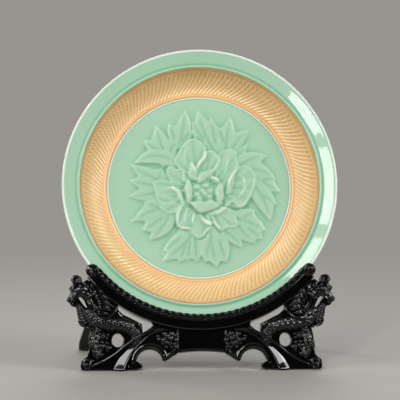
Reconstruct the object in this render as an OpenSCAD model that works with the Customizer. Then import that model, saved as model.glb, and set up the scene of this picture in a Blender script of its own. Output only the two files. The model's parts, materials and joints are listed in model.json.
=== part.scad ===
// Glazed display plate on its carved, folding two-leaf stand. Millimetres, +Z up, front towards -Y.
// The plate and the front leaf are drawn in the plate's own plane: x across, y up the lean,
// z out of the plate's face, with the origin at the centre of the rim.

/* [Plate] */
// Diameter over the rim
plate_d = 350; // [340:2:360]
// Radius of the flat well that carries the flower
well_r = 116; // [112:1:118]
// Radius where the gilt cavetto meets the flange
flange_r = 154; // [152:1:157]
// Depth of the well below the rim
well_depth = 28; // [24:1:30]
// Height of the whole plate, rim to foot ring
plate_h = 42; // [40:1:44]
// Outer radius of the foot ring
foot_r = 104; // [98:1:106]

/* [Flower] */
// Number of leaves round the flower
leaf_count = 13; // [11:1:14]
// Number of outer petals
petal_count = 9; // [7:1:11]
// Height of the leaves above the well
leaf_rise = 2.2; // [1.5:0.1:3]
// Height of the petals above the well
petal_rise = 4.5; // [3:0.1:6]
// Height of the flower's heart above the well
heart_rise = 7.5; // [5:0.1:9]

/* [Stand] */
// Lean of the front leaf and the plate, from upright
lean = 14; // [12:0.5:15]
// Height of the rim's centre above the floor
plate_z = 229; // [228:0.5:230]
// Splay of the rear leaf behind upright
rear_splay = 13; // [11:0.5:14]
// Thickness of the carved boards
board_t = 15; // [13:0.5:15]
// Half the arc of the cradle
cradle_half = 50; // [48:1:51]
// Number of beads along the lip
bead_count = 33; // [29:2:35]
// Distance of each post from the middle
post_x = 36; // [34:1:38]

/* [Hidden] */
$fn = 96;

plate_y = -25.2;              // puts the middle of the whole depth on the origin
plate_r = plate_d / 2;
gap = 0.3;                  // air between pieces that move past each other
rim_t = 5.2;                // thickness of the rim's rolled edge
band_t = 0.8;               // thickness of the gilt enamel
bead_ridge = 2.5;           // width of the ridges on each side of the gilt band
base_t = 6;                 // thickness of the well's floor
cavetto_turn = 62;          // arc that the cavetto's curve turns through
cavetto_steps = 10;

pad_t = 1.7;                // thickness of every felt
floor_r = plate_r + gap + pad_t;   // cradle floor that the rim felts lie on
cradle_r = plate_r + 11;    // outer edge of the cradle
lip_r = plate_r - 9.3;      // inner edge of the beads, in front of the rim
bead_root = plate_r - 2;    // where the beads meet the smooth band
cradle_back = -26;          // depth of the cradle floor behind the rim
board_front = 2;
board_back = board_front - board_t;
post_t = 16;
post_front = -plate_h - gap - pad_t;
post_back = post_front - 16;
pin_r = 3;
pivot = [12, (post_front + post_back) / 2];  // height and depth of the fold's axis
leg_inner = post_x + post_t / 2 + gap;
leg_t = [5, -8.5];          // front and back faces of a rear leg, from the pivot
leg_top = 8;                // top of a rear leg above the pivot
fold_open = lean + rear_splay;

scroll_r = 8.5;
scroll_at = [135.9, -110.8];

// Outline of one carved dragon, from the cradle round the head, chest and foot, and back.
dragon_upper = [
    [128, -124], [138, -125.5], [143.5, -121.5], [150.5, -125], [153, -119], [157.6, -115.2], [162.5, -119],
    [160.5, -127], [165.8, -132.5], [163, -138], [168, -146], [162.3, -155], [154.5, -156.5], [153.5, -171],
    [147, -180], [139, -182], [137, -190], [139, -204], [143, -217], [150, -223], [151, -231], [149.5, -250],
    [77, -250], [73.7, -229], [77.5, -224.5]
];
arch_at = [65, -226];       // the round arch between the foot and the cusp
arch_r = 16.4;
dragon_lower = [[46, -224.5], [42, -222.5], [36.5, -218.5], [30, -215.5], [30, -178], [70, -160], [110, -140]];
mouth_slot = [[154, -144], [151, -143], [141, -153], [137, -159], [140, -160.5], [147, -154]];
belly_hole = [
    [101, -190], [108.6, -190], [112, -194], [112, -202.5], [108.6, -206.6], [101, -206.6], [97.6, -202.5], [97.6, -194]
];
back_gap = [
    [104, -153], [104, -159], [100, -165], [93, -168.5], [83.7, -173.3], [74, -178], [73.3, -188.7], [71.3, -193.5],
    [67.8, -191], [66.6, -184], [61.4, -180.4], [66, -170], [80, -160]
];

rail_low = -16;             // bottom and top of the rail between the posts
rail_high = 2;
rail_depth = (post_front + post_back) / 2;
screw_r = 1.8;
screw_head_r = 3.2;
screw_head_t = 1.6;
rail_screw_y = [-11, -3];
foot_screw_y = [-199, -192];
foot_screw_back = -30;
foot_screw_length = 24;

apron_half = 30;
apron_low = -214.2;
dowel_r = 3;
dowel_length = 24;
dowel_y = -208;

// Height and depth of one post, seen from the side: a foot on the apron's back, then the upright.
post_outline = [
    [-212, board_back], [-188, board_back], [-188, cradle_back], [-150, cradle_back], [-104, post_front],
    [28, post_front], [34, post_front - 4], [34, post_back + 4], [24, post_back], [14, post_back - 16],
    [-8, post_back - 17], [-26, post_back], [-170, post_back + 8], [-212, board_back - 14]
];

// Centre line and half width of one rear leg, from its top: across, down the leg, half width.
leg_line = [
    [52.3, 9, 8], [52.3, -10, 8], [60, -34, 8], [84, -66, 8], [110, -104, 8.5], [127, -140, 8.5],
    [135, -170, 8.5], [140, -200, 9], [147, -222, 9.5], [149, -250, 9.5]
];

celadon = [0.62, 0.80, 0.70];
gilt = [0.87, 0.68, 0.36];
lacquer = [0.04, 0.04, 0.045];
felt = [0.10, 0.10, 0.11];
brass = [0.72, 0.55, 0.25];

// ---- frames -------------------------------------------------------------------------------

// Places children drawn in the plate's plane.
module on_lean()
    translate([0, plate_y, plate_z]) rotate([90 - lean, 0, 0]) children();

// Places children drawn round the fold's axis, with y up the rear leaf and z towards the plate.
module on_rear()
    on_lean() translate([0, pivot[0], pivot[1]]) rotate([fold_open, 0, 0]) children();

// Keeps what stands above the felts under the feet.
module above_feet()
    intersection() {
        children();
        translate([-300, -300, pad_t]) cube([600, 600, 600]);
    }

// An upright board seen from the side: its outline gives height and depth, and t is its width.
module side_board(x, t)
    translate([x - t / 2, 0, 0]) rotate([90, 0, 90]) linear_extrude(t) children();

// A sector of a turned moulding, symmetrical about the lowest point of the rim.
module moulding(half_arc)
    rotate([0, 0, -90 - half_arc]) rotate_extrude(angle = 2 * half_arc) children();

module slab(low, high)
    translate([0, 0, low]) linear_extrude(high - low) children();

module mirrored_left() mirror([1, 0, 0]) children();

// ---- plate --------------------------------------------------------------------------------

// The gilt cavetto's curve, from the well's edge (s = 0) to the flange (s = 1), as radius and depth.
function cavetto(s, lift = 0) = let (
    a = s * cavetto_turn,
    low_r = well_r + bead_ridge,
    high_r = flange_r - bead_ridge
) [
    low_r + (high_r - low_r) * sin(a) / sin(cavetto_turn),
    lift - well_depth + (well_depth - 5) * (1 - cos(a)) / (1 - cos(cavetto_turn))
];

// The plate's underside below the cavetto and the flange.
function underside(s) = [
    foot_r + 3 + (plate_r - 12 - foot_r) * s,
    -(well_depth + base_t) + (well_depth + base_t - 8) * pow(s, 1.6)
];

module plate_body() color(celadon) on_lean() rotate_extrude() polygon(concat(
    [[0, -well_depth], [well_r, -well_depth], [well_r + 1.2, -well_depth + 1.2]],
    [for (i = [0:cavetto_steps]) cavetto(i / cavetto_steps)],
    [
        [flange_r - 1.2, -3.6], [flange_r, -3.4], [flange_r + 8, -3.2], [plate_r - 4, -0.9], [plate_r - 2.4, 0],
        [plate_r - 1, -0.3], [plate_r, -1.8], [plate_r - 0.2, -3.6], [plate_r - 1.6, -rim_t]
    ],
    [for (i = [8:-1:0]) underside(i / 8)],
    [
        [foot_r, -well_depth - base_t - 1], [foot_r - 1.2, -plate_h + 1], [foot_r - 2.2, -plate_h],
        [foot_r - 6.5, -plate_h], [foot_r - 7.5, -plate_h + 1], [foot_r - 9, -well_depth - base_t],
        [0, -well_depth - base_t]
    ]
));

module gilt_band() color(gilt) on_lean() rotate_extrude() polygon(concat(
    [for (i = [0:cavetto_steps]) cavetto(i / cavetto_steps)],
    [for (i = [cavetto_steps:-1:0]) cavetto(i / cavetto_steps, band_t)]
));

// One toothed leaf, from its stalk at the origin out along x.
module leaf(length, width) polygon([
    [0, 0], [length * 0.2, width * 0.3], [length * 0.42, width * 0.5], [length * 0.5, width * 0.28],
    [length * 0.74, width * 0.36], [length * 0.8, width * 0.16], [length, 0],
    [length * 0.8, -width * 0.16], [length * 0.74, -width * 0.36], [length * 0.5, -width * 0.28],
    [length * 0.42, -width * 0.5], [length * 0.2, -width * 0.3]
]);

module petals_outline(inset = 0)
    for (i = [0:petal_count - 1]) rotate(i * 360 / petal_count)
        translate([36, 0]) circle(r = 20 - inset);

module heart_outline()
    union() {
        circle(r = 20);
        for (i = [0:4]) rotate(i * 72 + 18) translate([14, 0]) circle(r = 12);
    }

module leaf_sprigs() color(celadon) on_lean() slab(-well_depth, -well_depth + leaf_rise) difference() {
    for (i = [0:leaf_count - 1]) rotate(i * 360 / leaf_count + 8)
        translate([44, 0]) leaf(i % 2 ? 42 : 48, 32);
    circle(r = 50);
}

module petal_sprigs() color(celadon) on_lean() slab(-well_depth, -well_depth + petal_rise) difference() {
    intersection() {
        petals_outline();
        circle(r = 50);
    }
    circle(r = 27);
}

module flower_heart() color(celadon) on_lean() slab(-well_depth, -well_depth + heart_rise) intersection() {
    heart_outline();
    circle(r = 27);
}

// ---- front leaf ---------------------------------------------------------------------------

module cradle_arc() color(lacquer) on_lean() moulding(cradle_half) polygon([
    [bead_root, gap], [bead_root, 4.5], [cradle_r - 8, 6], [cradle_r - 1, 4], [cradle_r, 2.5],
    [cradle_r, cradle_back + 1], [cradle_r - 1, cradle_back], [floor_r, cradle_back], [floor_r, gap]
]);

// A half-round moulding with a row of short radial beads on its face.
module beaded_lip() color(lacquer) on_lean() union() {
    moulding(cradle_half) polygon([[lip_r + 0.8, gap], [bead_root, gap], [bead_root, 4], [lip_r + 2, 4]]);
    for (i = [0:bead_count - 1])
        rotate([0, 0, -90 + (i - (bead_count - 1) / 2) * 2 * (cradle_half - 2) / (bead_count - 1)])
            translate([lip_r, 0, 3.6]) rotate([0, 90, 0]) cylinder(r = 3.1, h = bead_root - lip_r - 0.4);
}

// The volute that closes one end of the cradle, in front of the rim.
module scroll_end() difference() {
    slab(gap, 10) translate(scroll_at) circle(r = scroll_r);
    moulding(cradle_half) square([cradle_r + 1, 12]);
    slab(8, 11) translate(scroll_at) difference() {
        circle(r = scroll_r - 2);
        circle(r = scroll_r - 3.6);
    }
}

module right_scroll_end() color(lacquer) on_lean() scroll_end();

module left_scroll_end() color(lacquer) on_lean() mirrored_left() scroll_end();

module dragon_outline() polygon(concat(
    dragon_upper,
    [for (a = [12:12:168]) arch_at + arch_r * [cos(a), sin(a)]],
    dragon_lower
));

// Everything that is cut out of a dragon board: the cradle, the slots and the holes.
module dragon_cuts() {
    circle(r = cradle_r);
    polygon(back_gap);
    polygon(belly_hole);
    polygon(mouth_slot);
}

// One dragon board, with the raised body, haunch and foot ribbon standing out of it.
module dragon() {
    difference() {
        slab(board_back, board_front) dragon_outline();
        slab(board_back - 1, board_front + 1) dragon_cuts();
        dowel(1, dowel_r);
        post_screw_set(1);
    }
    difference() {
        slab(board_front, board_front + 5) intersection() {
            dragon_outline();
            union() {
                translate([105, -197]) circle(r = 25);
                translate([148, -142]) circle(r = 19);
                translate([138, -166]) circle(r = 15);
                translate(arch_at) circle(r = arch_r + 14);
                translate([145, -227]) circle(r = 9);
            }
        }
        slab(board_front - 1, board_front + 6) dragon_cuts();
    }
}

module right_dragon() color(lacquer) above_feet() on_lean() dragon();

module left_dragon() color(lacquer) above_feet() on_lean() mirrored_left() dragon();

module apron_board() color(lacquer) on_lean() difference() {
    slab(board_back, board_front) translate([-apron_half, apron_low]) square([2 * apron_half, 60]);
    slab(board_back - 1, board_front + 1) circle(r = cradle_r);
    for (side = [-1, 1]) dowel(side, dowel_r);
}

// A peg hidden in the joint between the apron and one dragon board.
module dowel(side, radius)
    translate([side * apron_half, dowel_y, (board_front + board_back) / 2])
        rotate([0, 90, 0]) cylinder(r = radius, h = dowel_length, center = true);

module board_dowels() color([0.45, 0.30, 0.18]) on_lean()
    for (side = [-1, 1]) dowel(side, dowel_r);

// ---- posts behind the plate ---------------------------------------------------------------

// A countersunk screw with its head's face on the origin and its shank up z.
module screw(shank) {
    cylinder(r = screw_head_r, h = screw_head_t);
    translate([0, 0, screw_head_t]) cylinder(r = screw_r, h = shank);
}

// The screws in one post: two from its outer face into the rail, two from its back into the board.
module post_screw_set(side) {
    for (y = rail_screw_y) translate([side * (post_x + post_t / 2), y, rail_depth])
        rotate([0, -side * 90, 0]) screw(post_t + 8);
    for (y = foot_screw_y) translate([side * (post_x + 2), y, foot_screw_back]) screw(foot_screw_length);
}

module post(side) difference() {
    side_board(side * post_x, post_t) polygon(post_outline);
    translate([side * post_x, pivot[0], pivot[1]]) rotate([0, 90, 0])
        cylinder(r = pin_r, h = post_t + 2, center = true);
    translate([side * post_x, peg_at[0], peg_at[1]]) rotate([0, 90, 0])
        cylinder(r = peg_r, h = post_t + 2, center = true);
    post_screw_set(side);
    for (y = foot_screw_y) translate([side * (post_x + 2), y, foot_screw_back - 30])
        cylinder(r = screw_head_r, h = 30);
}

module left_post() color(lacquer) on_lean() post(-1);

module right_post() color(lacquer) on_lean() post(1);

module post_rail() color(lacquer) on_lean() difference() {
    slab(post_back + 2, post_front - 2)
        translate([-post_x + post_t / 2, rail_low]) square([2 * post_x - post_t, rail_high - rail_low]);
    for (side = [-1, 1]) post_screw_set(side);
}

module post_screws() color(brass) on_lean()
    for (side = [-1, 1]) post_screw_set(side);

// Felt under the rim, three strips in the cradle's floor.
module cradle_felts() color(felt) on_lean()
    for (a = [-36, 0, 36]) rotate([0, 0, a]) moulding(6) polygon([
        [floor_r - pad_t, -12], [floor_r, -12], [floor_r, -0.5], [floor_r - pad_t, -0.5]
    ]);

// Felt on the front of each post, where the foot ring rests.
module post_felts() color(felt) on_lean()
    for (side = [-1, 1]) slab(post_front, post_front + pad_t)
        translate([side * post_x - 6, -102]) square([12, 22]);

// ---- fold ---------------------------------------------------------------------------------

rail_t = 10;                // thickness of the rear leaf's cross rails
peg_r = 2.5;
// The peg stands behind the leg's back face, clear of it by the gap when the leaf is open.
peg_down = 17;
peg_back = leg_t[1] - peg_r - gap;
peg_at = pivot + [
    -peg_down * cos(fold_open) - peg_back * sin(fold_open),
    -peg_down * sin(fold_open) + peg_back * cos(fold_open)
];

// Fixed pins: a shank through the post, a running length in the leg and a domed cap outside it.
module pivot_pins() color(brass) on_lean()
    for (side = [-1, 1]) translate([side * (post_x - post_t / 2 - 1.5), pivot[0], pivot[1]])
        rotate([0, side * 90, 0]) union() {
            cylinder(r = pin_r + 2, h = 1.5);
            cylinder(r = pin_r, h = 1.5 + post_t + gap + 16 + gap + 0.5);
            translate([0, 0, 1.5 + post_t + gap + 16 + gap]) cylinder(r = pin_r + 2.5, h = 2);
        }

module stop_pegs() color(brass) on_lean()
    for (side = [-1, 1]) translate([side * (post_x - post_t / 2), peg_at[0], peg_at[1]])
        rotate([0, side * 90, 0]) cylinder(r = peg_r, h = post_t + 8);

// ---- rear leaf ----------------------------------------------------------------------------

function leg_edge(s) = [for (p = leg_line) [p[0] + s * p[2], p[1]]];

function reversed(list) = [for (i = [len(list) - 1:-1:0]) list[i]];

module rear_leg() difference() {
    slab(leg_t[1], leg_t[0]) intersection() {
        polygon(concat(leg_edge(1), reversed(leg_edge(-1))));
        translate([leg_inner, -260]) square([200, 260 + leg_top]);
    }
    translate([leg_inner + 8, 0, 0]) rotate([0, 90, 0])
        cylinder(r = pin_r + 0.05, h = 40, center = true);
    leaf_screw_set();
}

module right_rear_leg() color(lacquer) above_feet() on_rear() rear_leg();

module left_rear_leg() color(lacquer) above_feet() on_rear() mirrored_left() rear_leg();

// Both cross rails lie on the backs of the legs, so that the leaf folds flat on the posts.
module cross_rail(y, half, height) difference() {
    slab(leg_t[1] - rail_t, leg_t[1]) translate([-half, y]) square([2 * half, height]);
    leaf_screw_set();
}

module rear_top_rail() color(lacquer) on_rear() cross_rail(-62, 80, 14);

module rear_stretcher() color(lacquer) on_rear() cross_rail(-134, 128, 14);

module leaf_screw_set()
    for (side = [-1, 1], at = [[75, -55], [122, -127]])
        translate([side * at[0], at[1], leg_t[1] - rail_t]) screw(rail_t + 4);

module leaf_screws() color(brass) on_rear() leaf_screw_set();

// ---- feet ---------------------------------------------------------------------------------

foot_pad_r = 5.5;
// Where a line down the lean, at a given depth in the board, meets the floor.
function floor_y(depth) = plate_y - depth * cos(lean) - (plate_z + depth * sin(lean)) * tan(lean);

module front_feet() color(felt)
    for (x = [-143, -88, 88, 143]) translate([x, floor_y((board_front + board_back) / 2), 0])
        cylinder(r = foot_pad_r, h = pad_t);

rear_foot_y = plate_y + (pivot[0] * sin(lean) - pivot[1] * cos(lean))
    + (plate_z + pivot[0] * cos(lean) + pivot[1] * sin(lean)) * tan(rear_splay);

module rear_feet() color(felt)
    for (x = [-148, 148]) translate([x, rear_foot_y + 1, 0]) cylinder(r = foot_pad_r, h = pad_t);

// ---- parts --------------------------------------------------------------------------------

plate_body();
gilt_band();
leaf_sprigs();
petal_sprigs();
flower_heart();
cradle_arc();
beaded_lip();
left_scroll_end();
right_scroll_end();
left_dragon();
right_dragon();
apron_board();
board_dowels();
left_post();
right_post();
post_rail();
post_screws();
cradle_felts();
post_felts();
front_feet();
pivot_pins();
stop_pegs();
left_rear_leg();
right_rear_leg();
rear_top_rail();
rear_stretcher();
leaf_screws();
rear_feet();
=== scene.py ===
# %% [markdown]
# # A celadon display plate on its carved folding stand
# The plate leans back in a black lacquered stand. Nearly everything on it is drawn in the plate's own
# plane: x across, w up the lean and n out of the plate's face, in millimetres from the rim's centre.
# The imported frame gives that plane, so every piece lands where the joints and nodes are.

# %% Load the frame
import json
import math

import bmesh
import bpy
import numpy as np
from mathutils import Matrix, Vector

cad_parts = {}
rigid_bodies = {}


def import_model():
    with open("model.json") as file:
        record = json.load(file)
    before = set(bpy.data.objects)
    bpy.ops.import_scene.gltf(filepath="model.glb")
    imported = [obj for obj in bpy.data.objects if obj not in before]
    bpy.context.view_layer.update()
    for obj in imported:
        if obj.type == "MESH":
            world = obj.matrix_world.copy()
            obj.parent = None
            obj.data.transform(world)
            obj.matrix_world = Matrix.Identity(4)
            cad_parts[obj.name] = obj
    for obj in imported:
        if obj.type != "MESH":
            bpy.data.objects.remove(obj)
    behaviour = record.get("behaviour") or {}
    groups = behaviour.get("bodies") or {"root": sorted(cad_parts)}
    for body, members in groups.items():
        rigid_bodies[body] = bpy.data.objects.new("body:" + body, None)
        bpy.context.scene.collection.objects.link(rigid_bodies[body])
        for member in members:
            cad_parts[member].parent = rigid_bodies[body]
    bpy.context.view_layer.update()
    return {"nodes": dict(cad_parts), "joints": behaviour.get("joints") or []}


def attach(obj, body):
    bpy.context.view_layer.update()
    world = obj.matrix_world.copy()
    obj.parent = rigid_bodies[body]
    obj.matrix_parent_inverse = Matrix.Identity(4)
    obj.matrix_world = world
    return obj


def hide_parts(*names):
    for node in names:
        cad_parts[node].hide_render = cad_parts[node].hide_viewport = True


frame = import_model()

# %% The plate's plane
MM = 0.001
PLATE_R = 175.0
PIVOT_W, PIVOT_N = 12.0, -52.0     # the fold's axis, in the plate's plane
joints = {joint["name"]: joint for joint in frame["joints"]}
ACROSS = np.array([1.0, 0.0, 0.0])
UP = np.array(joints["plate_lift"]["axis"], float)
OUT = np.cross(ACROSS, UP)
FOLD = np.array(joints["stand_fold"]["pos_m"], float)
CENTRE = FOLD - MM * (PIVOT_W * UP + PIVOT_N * OUT)
LEAN = math.degrees(math.asin(UP[1]))
print("rim's centre", CENTRE.round(4), "lean", round(LEAN, 2))


def on_lean(x, w, n):
    """The place in the frame, in metres, of points given in the plate's plane in millimetres."""
    x, w, n = np.broadcast_arrays(x, w, n)
    return CENTRE + MM * (x[..., None] * ACROSS + w[..., None] * UP + n[..., None] * OUT)


# %% [markdown]
# ## The camera, the light and the floor
# A long lens keeps the plate's circles nearly true, as a product photographer would choose. The camera
# stands a little above the plate's middle and a little to its left. Three soft boxes stand one over the
# other at the left and show up as three long streaks on the right of the flange, which tips back towards
# them. Black gloss is only seen by what it reflects, so the lacquer has boxes of its own at both sides.

# %% Camera
VIEW_WIDTH = 0.5072                # what the frame takes in at the plate, in metres
CAMERA_DISTANCE = 2.4
CAMERA_AZIMUTH, CAMERA_ELEVATION = -2.2, 4.5
AIM_BELOW_CENTRE = 0.0206
SENSOR = 36.0


def direction(azimuth, elevation):
    """The unit vector from the object towards an azimuth and an elevation, in degrees; 0 looks along +Y."""
    a, e = math.radians(azimuth), math.radians(elevation)
    return np.array([math.sin(a) * math.cos(e), -math.cos(a) * math.cos(e), math.sin(e)])


def placed(name, data):
    """A new object for some data, linked into the scene."""
    obj = bpy.data.objects.new(name, data)
    bpy.context.scene.collection.objects.link(obj)
    return obj


def aim(obj, place, target):
    """Turns obj's -Z axis from place towards target, keeping its Y axis up."""
    obj.location = Vector(place)
    obj.rotation_euler = (Vector(target) - Vector(place)).to_track_quat("-Z", "Y").to_euler()


camera = placed("camera", bpy.data.cameras.new("camera"))
bpy.context.scene.camera = camera
camera.data.sensor_width = SENSOR
camera.data.lens = SENSOR * CAMERA_DISTANCE / VIEW_WIDTH
towards = direction(CAMERA_AZIMUTH, CAMERA_ELEVATION)
target = CENTRE - AIM_BELOW_CENTRE * np.array([0, 0, 1.0])
aim(camera, target + CAMERA_DISTANCE * towards, target)
print("lens", round(camera.data.lens), "mm")

# %% Lights
MIDDLE = np.array([0, 0, 0.21])     # what the lights are turned to
WARM, COOL = (1.0, 0.99, 0.97), (0.96, 0.985, 1.0)


def soft_box(name, azimuth, elevation, distance, size, watts, colour=(1, 1, 1)):
    """A rectangular soft light that faces the middle of the object."""
    data = bpy.data.lights.new(name, "AREA")
    data.shape = "RECTANGLE"
    data.size, data.size_y = size
    data.energy = watts
    data.color = colour
    aim(placed(name, data), MIDDLE + distance * direction(azimuth, elevation), MIDDLE)


soft_box("key_low", -15, 13, 2.75, (0.32, 0.3), 8.5, WARM)
soft_box("key_middle", -18.5, 24, 2.75, (0.34, 0.56), 14.5, WARM)
soft_box("key_high", -15.5, 35, 2.75, (0.36, 0.3), 7.2, WARM)
soft_box("left_top_box", -53, 34, 2.2, (0.78, 0.5), 10)
soft_box("right_top_box", 57, 33, 2.2, (0.78, 0.5), 11, COOL)
soft_box("left_box", -68, 22, 1.8, (0.3, 1.2), 6)
soft_box("right_box", 66, 22, 1.8, (0.3, 1.2), 9, COOL)
soft_box("back_box", 170, 35, 2.0, (1.4, 0.7), 14)
soft_box("back_left_box", -130, 20, 1.8, (0.3, 1.0), 8)

# %% The room round it
# The camera sees a plain grey backdrop. The object sees a dome that is dim low down and brighter overhead,
# which keeps the lacquer's sides black and gives every upward face a soft light.
world = bpy.data.worlds.new("studio")
bpy.context.scene.world = world
world.use_nodes = True
sky = world.node_tree
backdrop = sky.nodes["Background"]
backdrop.inputs["Color"].default_value = (0.31, 0.298, 0.278, 1)
fill = sky.nodes.new("ShaderNodeBackground")
height = sky.nodes.new("ShaderNodeSeparateXYZ")
dome = sky.nodes.new("ShaderNodeMapRange")
for key, value in (("From Min", 0.4), ("From Max", 0.95), ("To Min", 0.025), ("To Max", 0.3)):
    dome.inputs[key].default_value = value
sky.links.new(sky.nodes.new("ShaderNodeTexCoord").outputs["Generated"], height.inputs["Vector"])
sky.links.new(height.outputs["Z"], dome.inputs["Value"])
sky.links.new(dome.outputs["Result"], fill.inputs["Strength"])
fill.inputs["Color"].default_value = (1, 1, 1, 1)
seen = sky.nodes.new("ShaderNodeLightPath")
either = sky.nodes.new("ShaderNodeMixShader")
sky.links.new(seen.outputs["Is Camera Ray"], either.inputs["Fac"])
sky.links.new(fill.outputs["Background"], either.inputs[1])
sky.links.new(backdrop.outputs["Background"], either.inputs[2])
sky.links.new(either.outputs["Shader"], sky.nodes["World Output"].inputs["Surface"])
bpy.context.scene.view_settings.view_transform = "Standard"
print("world:", world.name, "with", len(sky.nodes), "nodes")

# %% [markdown]
# ## From grids to meshes
# Each surface is a grid of points: rows follow a path or a profile, and columns go round it. A shell keeps
# its points, its faces and the values painted on its points, and several shells make one piece. A shell's
# volume tells whether its faces look outwards, and a shell that is inside out is turned round.

# %% Shells


def shell(points, wrap_rows=False, **paint):
    """A closed shell from a grid of points (rows, columns, 3) whose columns wrap round.

    Each cell between neighbouring rows and columns is a quad. Unless the rows wrap too, a pole at the mean
    of each end row closes the ends. Each paint array is one value per grid point.
    """
    rows, columns = points.shape[:2]
    index = np.arange(rows * columns).reshape(rows, columns)
    here = index if wrap_rows else index[:-1]
    below = np.roll(index, -1, axis=0) if wrap_rows else index[1:]
    quads = np.stack([here, np.roll(here, -1, 1), np.roll(below, -1, 1), below], -1).reshape(-1, 4)
    co = points.reshape(-1, 3)
    values = {k: np.broadcast_to(v, (rows, columns)).reshape(-1).astype(float) for k, v in paint.items()}
    tris = np.zeros((0, 3), int)
    if not wrap_rows:
        first, last = index[0], index[-1]
        top, bottom = rows * columns, rows * columns + 1
        tris = np.concatenate([
            np.stack([np.full(columns, top), np.roll(first, -1), first], -1),
            np.stack([np.full(columns, bottom), last, np.roll(last, -1)], -1),
        ])
        co = np.concatenate([co, [points[0].mean(0), points[-1].mean(0)]])
        values = {k: np.append(v, [v[first].mean(), v[last].mean()]) for k, v in values.items()}
    return outward({"co": co, "quads": quads, "tris": tris, "paint": values})


def outward(s):
    """Turns a closed shell's faces to look outwards, by the sign of the volume that they enclose."""
    faces = np.concatenate([s["quads"][:, [0, 1, 2]], s["quads"][:, [0, 2, 3]], s["tris"]])
    a, b, c = (s["co"][faces[:, i]] for i in range(3))
    if np.einsum("ij,ij->i", a, np.cross(b, c)).sum() < 0:
        s["quads"], s["tris"] = s["quads"][:, ::-1], s["tris"][:, ::-1]
    return s


# %% From shells to a piece


def piece(name, shells, material, body, slot, *nodes):
    """One smooth-shaded object from shells, riding on a body and standing for CAD nodes."""
    start = np.cumsum([0] + [len(s["co"]) for s in shells])
    co = np.concatenate([s["co"] for s in shells])
    quads = np.concatenate([s["quads"] + n for s, n in zip(shells, start)])
    tris = np.concatenate([s["tris"] + n for s, n in zip(shells, start)])
    mesh = bpy.data.meshes.new(name)
    mesh.vertices.add(len(co))
    mesh.vertices.foreach_set("co", co.reshape(-1))
    mesh.loops.add(quads.size + tris.size)
    mesh.loops.foreach_set("vertex_index", np.concatenate([quads.reshape(-1), tris.reshape(-1)]))
    mesh.polygons.add(len(quads) + len(tris))
    first = np.concatenate([np.arange(len(quads)) * 4, quads.size + np.arange(len(tris)) * 3])
    mesh.polygons.foreach_set("loop_start", first)
    mesh.update(calc_edges=True)
    for key in sorted({k for s in shells for k in s["paint"]}):
        values = np.concatenate([s["paint"].get(key, np.zeros(len(s["co"]))) for s in shells])
        mesh.attributes.new(key, "FLOAT", "POINT").data.foreach_set("value", values)
    mesh.shade_smooth()
    mesh.materials.append(material)
    obj = placed(name, mesh)
    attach(obj, body)
    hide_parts(*nodes)
    print(f"{name}: {2 * len(quads) + len(tris)} triangles")


# %% Outlines and turned surfaces


def rounded(points, rounds=2):
    """Cuts the corners of an open outline.

    Each corner gives two points, a quarter of the way along the sides that meet there.
    """
    points = np.asarray(points, float)
    for _ in range(rounds):
        near, far = points[:-1], points[1:]
        cut = np.stack([0.75 * near + 0.25 * far, 0.25 * near + 0.75 * far], 1).reshape(-1, points.shape[1])
        points = np.concatenate([points[:1], cut, points[-1:]])
    return points


def bump(x, centre, width):
    """A smooth hill of height 1 at centre."""
    return np.exp(-(((x - centre) / width) ** 2))


def turned(profile, columns, **paint):
    """A surface of revolution about the plate's axis: each profile point (radius, n) goes round once."""
    angle = np.linspace(0, 2 * math.pi, columns, endpoint=False)
    r, n = profile[:, :1], profile[:, 1:]
    paint = {k: np.broadcast_to(v[:, None], (len(profile), columns)) for k, v in paint.items()}
    return shell(on_lean(r * np.cos(angle), r * np.sin(angle), n + 0 * angle), **paint)

# %% [markdown]
# ## Effects that several finishes share
# Glaze, lacquer and wood all show faint smudges and unevenness under a soft light. That is one node group,
# a noise in the piece's own metres, which each material takes at its own scale and strength. It gives out a
# mask and a height, and never a shader.

# %% Node helpers


def new_group(name, inputs, outputs):
    """An empty shader node group with number inputs (name: default) and number outputs."""
    group = bpy.data.node_groups.new(name, "ShaderNodeTree")
    for key, value in inputs.items():
        group.interface.new_socket(key, in_out="INPUT", socket_type="NodeSocketFloat").default_value = value
    for key in outputs:
        group.interface.new_socket(key, in_out="OUTPUT", socket_type="NodeSocketFloat")
    return group, group.nodes.new("NodeGroupInput"), group.nodes.new("NodeGroupOutput")


def smudge_group():
    """Two noises, one broad and one fine, mixed into a mask from 0 to 1 and a fine height."""
    group, given, out = new_group("smudge", {"Scale": 30.0, "Fine": 400.0}, ["Mask", "Height"])
    link = group.links.new
    place = group.nodes.new("ShaderNodeTexCoord")
    broad, fine = (group.nodes.new("ShaderNodeTexNoise") for _ in range(2))
    broad.inputs["Detail"].default_value = 4
    fine.inputs["Detail"].default_value = 2
    for noise, key in ((broad, "Scale"), (fine, "Fine")):
        link(place.outputs["Object"], noise.inputs["Vector"])
        link(given.outputs[key], noise.inputs["Scale"])
    mask = group.nodes.new("ShaderNodeMapRange")
    mask.inputs["From Min"].default_value, mask.inputs["From Max"].default_value = 0.35, 0.68
    link(broad.outputs["Fac"], mask.inputs["Value"])
    link(mask.outputs["Result"], out.inputs["Mask"])
    link(fine.outputs["Fac"], out.inputs["Height"])
    return group


SMUDGE = smudge_group()
print("node group:", SMUDGE.name)

# %% A finish under construction


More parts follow.
